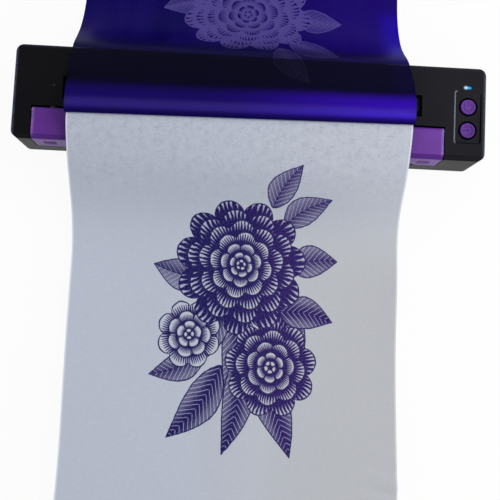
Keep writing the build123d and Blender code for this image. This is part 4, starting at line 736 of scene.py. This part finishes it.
outline = ramp(reckon("ABSOLUTE", depth), *OUTLINE_MM)
foot = reckon("DIVIDE", away, given["Reach"])
to_valley = reckon("DIVIDE", times(times(lobe, away), 2.0), given["Petals"])
valley = ramp(to_valley, *VALLEY_MM)
shade = ramp(foot, given["Foot"], plus(given["Foot"], 0.34), 1.0, 0.0)
cup = times(ramp(lobe, 0.62, 0.1), 0.75)
shade = reckon("MAXIMUM", shade, times(cup, ramp(foot, 1.0, 0.7)))
wander = spots(petal_ring, mapped(petal_ring, given["Vector"], (0.12, 0.12, 0.12)), 1.0, 3.0)
stroke_angle = plus(times(angle, STROKES_A_RING), times(wander, 9.0))
strokes = reckon("MULTIPLY_ADD", reckon("COSINE", stroke_angle), 0.5, 0.5)
hatch = ramp(plus(strokes, shade), *HATCH)
lines = reckon("MAXIMUM", outline, valley)
ink = reckon("MAXIMUM", lines, times(hatch, ramp(shade, 0.02, 0.2)))
join(petal_ring, result, Inside=inside, Ink=times(ink, inside), Tone=times(shade, inside))

# leaf_blade: a pointed blade, bent a little, with a midrib, side veins that
# slope forward, and hatching that is denser on one half. At the distance a along
# it, its half width is W sin(pi (a / L)^0.8). All lengths are in millimetres.
LEAF_BEND, LEAF_TAPER = 0.07, 0.8
LEAF_OUTLINE_MM = (0.7, 0.4)
MIDRIB_MM = (0.38, 0.18)
VEIN_STEP_MM, VEIN_SLOPE = 3.6, 1.1
STROKES_A_MM = 7.0
leaf_blade, given, result = new_effect(
    "leaf_blade",
    [("Vector", None), ("X", 0.0), ("Y", 0.0), ("Turn", 0.0), ("Long", 30.0), ("Wide", 8.0), ("Dark", 0.5)],
    ["Inside", "Ink", "Tone"],
)
reckon, times, plus, minus, ramp = steps(leaf_blade)
right, down, _ = axes(leaf_blade, given["Vector"])
dx, dy = minus(right, given["X"]), minus(down, given["Y"])
cosine, sine = reckon("COSINE", given["Turn"]), reckon("SINE", given["Turn"])
a = plus(times(dx, cosine), times(dy, sine))
b = minus(times(dy, cosine), times(dx, sine))
share = reckon("DIVIDE", a, given["Long"], clamp=True)
bow = reckon("SINE", times(share, math.pi))
b = plus(b, times(bow, times(given["Long"], LEAF_BEND)))
swell = reckon("SINE", times(reckon("POWER", share, LEAF_TAPER), math.pi))
half = times(given["Wide"], swell)
off = reckon("ABSOLUTE", b)
depth = minus(half, off)
whole = times(reckon("GREATER_THAN", a, 0.0), reckon("LESS_THAN", a, given["Long"]))
inside = times(ramp(depth, -0.4, -0.1), whole)
outline = ramp(reckon("ABSOLUTE", depth), *LEAF_OUTLINE_MM)
rib = ramp(off, *MIDRIB_MM)
forward = minus(a, times(off, VEIN_SLOPE))
vein_run = reckon("FRACT", reckon("DIVIDE", forward, VEIN_STEP_MM))
vein = times(ramp(reckon("ABSOLUTE", minus(vein_run, 0.5)), 0.1, 0.05), 0.9)
far_half = times(ramp(b, -0.1, 0.1), 0.9)
shade = reckon("MAXIMUM", far_half, given["Dark"])
shade = times(shade, ramp(off, given["Wide"], 0.0, 0.62, 1.0))
strokes = reckon("MULTIPLY_ADD", reckon("COSINE", times(forward, STROKES_A_MM)), 0.5, 0.5)
hatch = ramp(plus(strokes, shade), *HATCH)
pale_vein = minus(1.0, times(vein, given["Dark"]))
ink = reckon("MAXIMUM", reckon("MAXIMUM", outline, rib), times(hatch, pale_vein))
join(leaf_blade, result, Ink=times(ink, inside), Inside=inside, Tone=times(shade, inside))

# stencil_drawing: a generic spray of three round many-petalled flowers and
# twelve leaves, each motif drawn over the ones before it. X goes to the right
# from the middle, and Y down from the peel line, in millimetres.
LINE_WOBBLE_MM = 0.9
LEAVES = [  # X, Y, turn in degrees, length, half width, darkness
    (14, 104, 62, 66, 12, 1), (0, 118, 92, 74, 12, 1), (-6, 112, 122, 62, 11, 1),
    (28, 124, 8, 36, 10, 1), (4, 150, 100, 62, 10, 1), (10, 160, 62, 58, 11, 1),
    (-8, 158, 128, 56, 11, 1), (-18, 150, 158, 40, 9, 0.9), (-20, 104, 190, 36, 10, 0.6),
    (34, 96, -8, 32, 10, 0.9), (30, 70, -34, 36, 10, 0.8), (22, 58, -62, 36, 9, 0.8),
]
FLOWERS = [  # X, Y, and for each ring its reach, petals, turn, and how far its shade goes
    (24, 158, [
        (30, 9, 0.2, 0.74), (23, 8, 0.7, 0.7), (16, 7, 0.1, 0.64), (9.5, 6, 0.5, 0.52), (4.2, 5, 0.9, 0.2),
    ]),
    (-30, 140, [(21, 8, 0.4, 0.6), (14.5, 7, 0.9, 0.55), (8.5, 5, 0.3, 0.4), (3.6, 4, 0.1, 0.2)]),
    (2, 96, [
        (43, 11, 0.1, 0.8), (36, 10, 0.45, 0.76), (28.5, 9, 0.15, 0.72), (21, 8, 0.6, 0.66),
        (14, 7, 0.25, 0.6), (8, 6, 0.75, 0.5), (3.6, 5, 0.2, 0.3),
    ]),
]
stencil_drawing, given, result = new_effect("stencil_drawing", [("Vector", None)], ["Ink", "Tone"])
reckon, times, _, minus, ramp = steps(stencil_drawing)
wobble = spots(stencil_drawing, given["Vector"], 0.25, 3.0)
shift = stencil_drawing.nodes.new("ShaderNodeVectorMath")
shift.operation = "SCALE"
stencil_drawing.links.new(wobble, shift.inputs[0])
shift.inputs["Scale"].default_value = LINE_WOBBLE_MM
moved = stencil_drawing.nodes.new("ShaderNodeVectorMath")
moved.operation = "ADD"
stencil_drawing.links.new(given["Vector"], moved.inputs[0])
stencil_drawing.links.new(shift.outputs[0], moved.inputs[1])


def drawn_over(under, group, **settings):
    """Ink and tone of a motif laid over the ink and tone under it."""
    motif = effect(stencil_drawing, group, Vector=moved.outputs[0], **settings)
    bare = minus(1.0, motif["Inside"])
    return [reckon("MULTIPLY_ADD", bare, below, motif[kind]) for below, kind in zip(under, ("Ink", "Tone"))]


drawn = (0.0, 0.0)
for x, y, turn, long, wide, dark in LEAVES:
    drawn = drawn_over(drawn, leaf_blade, X=x, Y=y, Turn=math.radians(turn), Long=long, Wide=wide, Dark=dark)
for x, y, rings in FLOWERS:
    for reach, petals, turn, foot in rings:
        drawn = drawn_over(drawn, petal_ring, X=x, Y=y, Reach=reach, Petals=petals, Turn=turn, Foot=foot)
patchy = ramp(spots(stencil_drawing, given["Vector"], 1.1, 3.0), 0.22, 0.55, 0.86, 1.0)
join(stencil_drawing, result, Ink=times(drawn[0], patchy), Tone=drawn[1])

# tissue: short matted fibres of thin paper, from three stretched noises that
# lie in different directions.
FIBRE_TURNS = (0.3, 1.4, 2.5)
FIBRE_STRETCH = (0.3, 1.15, 1.0)
tissue, given, result = new_effect("tissue", [("Vector", None)], ["Height", "Fleck"])
reckon, times, plus, _, ramp = steps(tissue)
layers = []
for turn in FIBRE_TURNS:
    laid_so = mapped(tissue, given["Vector"], FIBRE_STRETCH, turn=turn)
    layers.append(spots(tissue, laid_so, 1.0, 3.0, 0.55, 0.8))
matted = times(plus(plus(layers[0], layers[1]), layers[2]), 0.3333)
fleck = ramp(reckon("MAXIMUM", layers[0], layers[2]), 0.6, 0.76)
join(tissue, result, Height=matted, Fleck=fleck)


def sheet_place(tree, length):
    """Place on a sheet in millimetres: across from its middle, and along from the peel line."""
    spread = tree.nodes.new("ShaderNodeUVMap")
    spread.uv_map = "sheet"
    size = (SHEET_WIDE * 1000, length * 1000, 1.0)
    return mapped(tree, spread.outputs[0], size, shift=(-SHEET_WIDE * 500, -to_peel * 1000, 0.0))


def drawing_on(tree, place):
    """The drawing laid on a sheet, 4% wider and 12% longer than it is drawn, and 2.5 mm to the right."""
    drawn_at = mapped(tree, place, (0.96, 0.893, 1.0), shift=(-2.4, -0.6, 0.0))
    return effect(tree, stencil_drawing, Vector=drawn_at)


# tissue_white: the stencil sheet's paper goes from cool at the rear left to
# warmer in front. Its mats and flecks of fibre show most near the roll, its
# side edges carry a painted highlight, and the ink shows weakly through its back.
COOL_DARK, COOL_PALE = (0.462, 0.5, 0.596), (0.508, 0.545, 0.64)
WARM_DARK, WARM_PALE = (0.505, 0.52, 0.55), (0.542, 0.557, 0.587)
DARK_MAT, PALE_MAT = (0.38, 0.39, 0.5), (0.62, 0.65, 0.74)
DARK_FLECK, PALE_FLECK = (0.27, 0.29, 0.42), (0.7, 0.7, 0.82)
EDGE_PAINTED_HIGHLIGHT, INK_WASH = (0.8, 0.82, 0.92), (0.2, 0.16, 0.46)
INK_LEFT, INK_RIGHT = (0.004, 0.001, 0.082), (0.02, 0.005, 0.11)
NEAR_ROLL_MM = (90.0, 10.0)
WARMER_RIGHT_MM, WARMER_DOWN_MM = (-60.0, 90.0), (50.0, 110.0)
EDGE_HIGHLIGHT_MM = (109.6, 110.4)
INK_RIGHT_MM = (-20.0, 50.0)
tissue_white, tree, shader = new_finish("tissue_white", (0.46, 0.49, 0.57), 0.8, Specular_IOR_Level=0.2)
reckon, times, _, _, ramp = steps(tree)
over = partial(laid_over, tree)
place = sheet_place(tree, white_length)
fibres = effect(tree, tissue, Vector=place)
drawing = drawing_on(tree, place)
right, down, _ = axes(tree, place)
near_roll = ramp(down, *NEAR_ROLL_MM)
warmer = times(ramp(right, *WARMER_RIGHT_MM), ramp(down, *WARMER_DOWN_MM, 0.35, 1.0))
matted = ramp(fibres["Height"], 0.35, 0.65)
cool = blend_colours(tree, matted, COOL_DARK, COOL_PALE)
warm = blend_colours(tree, matted, WARM_DARK, WARM_PALE)
paper = blend_colours(tree, warmer, cool, warm)
matting = spots(tree, mapped(tree, place, (0.2, 0.2, 0.2)), 1.0, 5.0, 0.75)
paper = over(paper, DARK_MAT, ramp(matting, 0.5, 0.62), times(near_roll, 0.42))
paper = over(paper, PALE_MAT, ramp(matting, 0.46, 0.36), times(near_roll, 0.3))
paper = over(paper, DARK_FLECK, fibres["Fleck"], reckon("MULTIPLY_ADD", near_roll, 0.8, 0.05))
pale_flecks = ramp(spots(tree, mapped(tree, place, (0.55, 0.55, 0.55)), 1.0, 3.0), 0.58, 0.7)
paper = over(paper, PALE_FLECK, pale_flecks, reckon("MULTIPLY_ADD", near_roll, 0.22, 0.04))
# Painted highlight along both side edges.
paper = over(paper, EDGE_PAINTED_HIGHLIGHT, ramp(reckon("ABSOLUTE", right), *EDGE_HIGHLIGHT_MM, 0.0, 0.6))
paper = over(paper, INK_WASH, drawing["Tone"], 0.62)
side = tree.nodes.new("ShaderNodeAttribute")
side.attribute_name = "drawn_side"
ink = times(drawing["Ink"], ramp(side.outputs["Fac"], 0.0, 1.0, 0.35, 1.0))
ink_colour = blend_colours(tree, ramp(right, *INK_RIGHT_MM), INK_LEFT, INK_RIGHT)
join(tree, shader.inputs, Base_Color=over(paper, ink_colour, ink))
relief(tree, shader, fibres["Height"], 0.22, 0.00012)

# violet_film: thin carbon film with its ink worn off where the drawing went
# over to the tissue. Painted light: it is painted lighter to the right and
# brightest on the roll, with a painted highlight along the roll's crest and
# painted shade at its front. It is painted dark over the black body as painted
# shade, and its right edge has a painted glow over the table.
FILM_LEFT, FILM_RIGHT = (0.003, 0.0008, 0.085), (0.0125, 0.0022, 0.165)
FILM_PAINTED_GLOW, FILM_STREAK, FILM_WORN = (0.016, 0.0015, 0.42), (0.02, 0.008, 0.22), (0.15, 0.12, 0.42)
ROLL_LEFT, ROLL_RIGHT = (0.038, 0.012, 0.4), (0.12, 0.016, 1.0)
ROLL_CREST_PAINTED_HIGHLIGHT, ROLL_FRONT_PAINTED_SHADE = (0.42, 0.28, 0.9), (0.018, 0.005, 0.25)
OVER_BODY_PAINTED_SHADE, IN_MACHINE = (0.005, 0.004, 0.03), (0.5, 0.42, 0.95)
PAINTED_LIGHT_RIGHTWARD_MM = (-30.0, 102.0)
GLOW_RIGHT_MM, GLOW_DOWN_MM = (92.0, 108.0), (121.0, 106.0)
CREST_BACK_MM, CREST_FRONT_MM = (15.0, 10.5), (4.0, 8.5)
ROLL_FRONT_MM, ROLL_BACK_MM = (9.5, 3.0), (27.0, 17.0)
OVER_BODY_MM, IN_MACHINE_MM = (76.0, 54.0), (-1.0, -4.0)
violet_film, tree, shader = new_finish(
    "violet_film", (0.012, 0.005, 0.16), 0.16, Transmission_Weight=0.8, IOR=1.1
)
ramp, over = partial(fade, tree), partial(laid_over, tree)
place = sheet_place(tree, film_length)
drawing = drawing_on(tree, place)
right, down, _ = axes(tree, place)
# Painted light: the film and its roll are painted lighter towards the right.
painted_light_rightward = ramp(right, *PAINTED_LIGHT_RIGHTWARD_MM)
streaks = spots(tree, mapped(tree, place, (0.05, 0.008, 1.0)), 1.0, 3.0)
carbon = blend_colours(tree, painted_light_rightward, FILM_LEFT, FILM_RIGHT)
# Painted light: a glow at the right edge where the film lies over the table.
carbon = over(carbon, FILM_PAINTED_GLOW, ramp(right, *GLOW_RIGHT_MM), ramp(down, *GLOW_DOWN_MM))
carbon = over(carbon, FILM_STREAK, ramp(streaks, 0.3, 0.7, 0.0, 0.3))
carbon = over(carbon, FILM_WORN, drawing["Ink"], 0.6)
# Painted light: the roll is painted brighter, with a painted highlight along its crest and painted shade at
# its front.
roll = blend_colours(tree, painted_light_rightward, ROLL_LEFT, ROLL_RIGHT)
roll = over(roll, ROLL_CREST_PAINTED_HIGHLIGHT, ramp(down, *CREST_BACK_MM), ramp(down, *CREST_FRONT_MM, 0.0, 0.2))
roll = over(roll, ROLL_FRONT_PAINTED_SHADE, ramp(down, *ROLL_FRONT_MM))
# Painted shade: the film is painted darker where it lies over the black body.
carbon = over(carbon, OVER_BODY_PAINTED_SHADE, ramp(down, *OVER_BODY_MM, 0.0, 0.75))
carbon = over(carbon, roll, ramp(down, *ROLL_BACK_MM))
carbon = over(carbon, IN_MACHINE, ramp(down, *IN_MACHINE_MM))
join(tree, shader.inputs, Roughness=ramp(down, 28.0, 16.0, 0.34, 0.38), Base_Color=carbon)
ripples = spots(tree, mapped(tree, place, (0.02, 0.05, 1.0)))
relief(tree, shader, ripples, 0.25, 0.0006)

# Stencil sheet: its edges curl up from the table by up to CURL_RISE times the
# square of the share from the middle to the edge. It is made as two lengths
# that meet over the cover's front edge.
LEFT_OUT_OF_LINE, ASKEW = 0.0012, 0.0018
CURL_RISE = 0.0118
LOOSE_WAVE = 0.0006
CRINKLE = 0.0011
WHITE_RIGHT_AT_TABLE, WHITE_RIGHT_AT_END = 0.0014, 0.0018
FOLD_Y = -0.031
x = np.linspace(-SHEET_WIDE / 2, SHEET_WIDE / 2, 75)
side_share = x / (SHEET_WIDE / 2)


def laid(run, lift, back_to_straight):
    """Rows of points of a sheet along its run, raised by lift. Past the recess the pair lies to the
    left, and at the peel line its left edge is forward and its right edge as far back, which dies out
    further on."""
    way = along(run)
    left = -LEFT_OUT_OF_LINE * ease(way, to_peel - 0.02, to_peel)
    askew = ASKEW * ease(way, to_peel - 0.016, to_peel)
    askew *= ease(way, to_peel + back_to_straight, to_peel + 0.006)
    return np.stack(
        [
            SHEET_MIDDLE + x[None, :] + left[:, None],
            run[:, 0, None] + askew[:, None] * side_share[None, :],
            run[:, 1, None] + lift,
        ],
        axis=2,
    )


y = white_run[:, 0]
lift = CURL_RISE * ease(-y, 0.042, 0.125)[:, None] * np.abs(side_share)[None, :] ** 2.0
cross_wave = np.sin(38.0 * x[None, :] + 9.0 * y[:, None]) * np.sin(21.0 * y[:, None] + 0.6)
loose = ease(-y, 0.05, 0.11)[:, None] * (cross_wave + np.sin(17.0 * y[:, None] + 1.1))
crinkle = ease(-y, 0.215, 0.262)[:, None] * ease(side_share, 0.72, 1.0)[None, :]
lift = lift + LOOSE_WAVE * loose + CRINKLE * crinkle * np.sin(430.0 * y[:, None] + 60.0 * x[None, :])
white_middle = laid(white_run, np.maximum(lift, 0.0), 0.035)
to_right = WHITE_RIGHT_AT_TABLE * ease(-y, 0.06, 0.11) + WHITE_RIGHT_AT_END * ease(-y, 0.15, 0.26)
white_middle[:, :, 0] += to_right[:, None]
white_share = along(white_run) / white_length
fold = int(np.argmin(np.abs(y - FOLD_Y)))
for name, rows, ends in (
    ("stencil_sheet_rear", slice(0, fold + 1), ("housing", "cover", -0.0135, y[fold])),
    ("stencil_sheet_front", slice(fold, None), ("cover", "housing", y[fold], -0.125)),
):
    piece = sheet_shell(name, white_middle[rows], white_share[rows], tissue_white)
    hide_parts("stencil_sheet")
    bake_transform(piece)

# Carbon film: turns back over the body in a soft roll, a little uneven along
# its length, and lies on the table behind. It is a little wider at the roll
# and narrower at its far end, and drifts to the left.
LONG_WAVE, SHORT_WAVE = 0.0007, 0.0005
FILM_OVER_TABLE = 0.00035
WIDER_AT_ROLL, NARROWER_AT_END, DRIFT_LEFT = 0.0009, 0.0015, 0.002
y, z = film_run[:, 0], film_run[:, 1]
way = along(film_run)[:, None]
free = ease(way, to_peel, to_peel + 0.02)
landed = ease(y, 0.045, 0.11)[:, None]
long_wave = LONG_WAVE * np.sin(24.0 * x[None, :] + 30.0 * y[:, None])
short_wave = SHORT_WAVE * np.sin(55.0 * x[None, :] - 14.0 * y[:, None])
wave = free * (1.0 - 0.75 * landed) * (long_wave + short_wave)
film_middle = laid(film_run, np.maximum(wave, FILM_OVER_TABLE - z[:, None]), 0.045)
narrower = NARROWER_AT_END * ease(way - to_peel, 0.03, 0.075)
film_middle[:, :, 0] += side_share[None, :] * (WIDER_AT_ROLL - narrower)
film_middle[:, :, 0] -= DRIFT_LEFT * ease(way - to_peel, 0.025, 0.08)
film = sheet_shell("carbon_film_sheet", film_middle, along(film_run) / film_length, violet_film)
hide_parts("carbon_film")
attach(film, "housing")

# Floor and light: a plain white floor that keeps a faint shadow, an even pale
# sky, and two soft lamps at the right, one high and one low.
FLOOR_HALF = 4.0
FLOOR_SEEN_WHITE = 0.94
SKY_ON_OBJECT = 0.56
WHITE = (1.0, 1.0, 1.0, 1.0)
LAMPS_FACE = np.array([0.05, -0.02, 0.02])


def seen_directly(tree):
    """1 for rays from the camera, from gloss and through glass."""
    path = tree.nodes.new("ShaderNodeLightPath").outputs
    seen = work(tree, "MAXIMUM", path["Is Camera Ray"], path["Is Glossy Ray"])
    return work(tree, "MAXIMUM", seen, path["Is Transmission Ray"])


floor_white, tree, shader = new_finish("floor_white", (0.8, 0.8, 0.8), 0.9, Specular_IOR_Level=0.0)
white = tree.nodes.new("ShaderNodeEmission")
join(tree, white.inputs, Color=WHITE)
mixed = tree.nodes.new("ShaderNodeMixShader")
tree.links.new(work(tree, "MULTIPLY", seen_directly(tree), FLOOR_SEEN_WHITE), mixed.inputs[0])
tree.links.new(shader.outputs[0], mixed.inputs[1])
tree.links.new(white.outputs[0], mixed.inputs[2])
tree.links.new(mixed.outputs[0], tree.nodes["Material Output"].inputs["Surface"])
floor_corners = np.array([(-1, -1, 0), (1, -1, 0), (1, 1, 0), (-1, 1, 0)]) * FLOOR_HALF
floor = new_piece("floor", floor_corners, [(0, 1, 2, 3)], floor_white)

sky = bpy.data.worlds.new("pale_sky")
sky.use_nodes = True
tree = sky.node_tree
ground = tree.nodes["Background"]
join(tree, ground.inputs, Color=WHITE, Strength=fade(tree, seen_directly(tree), 0.0, 1.0, SKY_ON_OBJECT, 1.0))
bpy.context.scene.world = sky


def soft_lamp(name, spot, size, power):
    """A square lamp at spot that faces LAMPS_FACE."""
    light = bpy.data.lights.new(name, "AREA")
    light.shape = "SQUARE"
    light.size = size
    light.energy = power
    lamp = put_in_scene(name, light)
    way = LAMPS_FACE - np.array(spot)
    tilt = math.atan2(math.hypot(way[0], way[1]), -way[2])
    lamp.location = spot
    lamp.rotation_euler = (tilt, 0.0, math.atan2(way[0], -way[1]) + math.pi)


soft_lamp("lamp_right", spot=(0.42, 0.13, 0.85), size=0.35, power=2.5)
soft_lamp("lamp_side", spot=(0.85, -0.25, 0.42), size=0.4, power=3.4)

bpy.context.scene.view_settings.view_transform = "Standard"
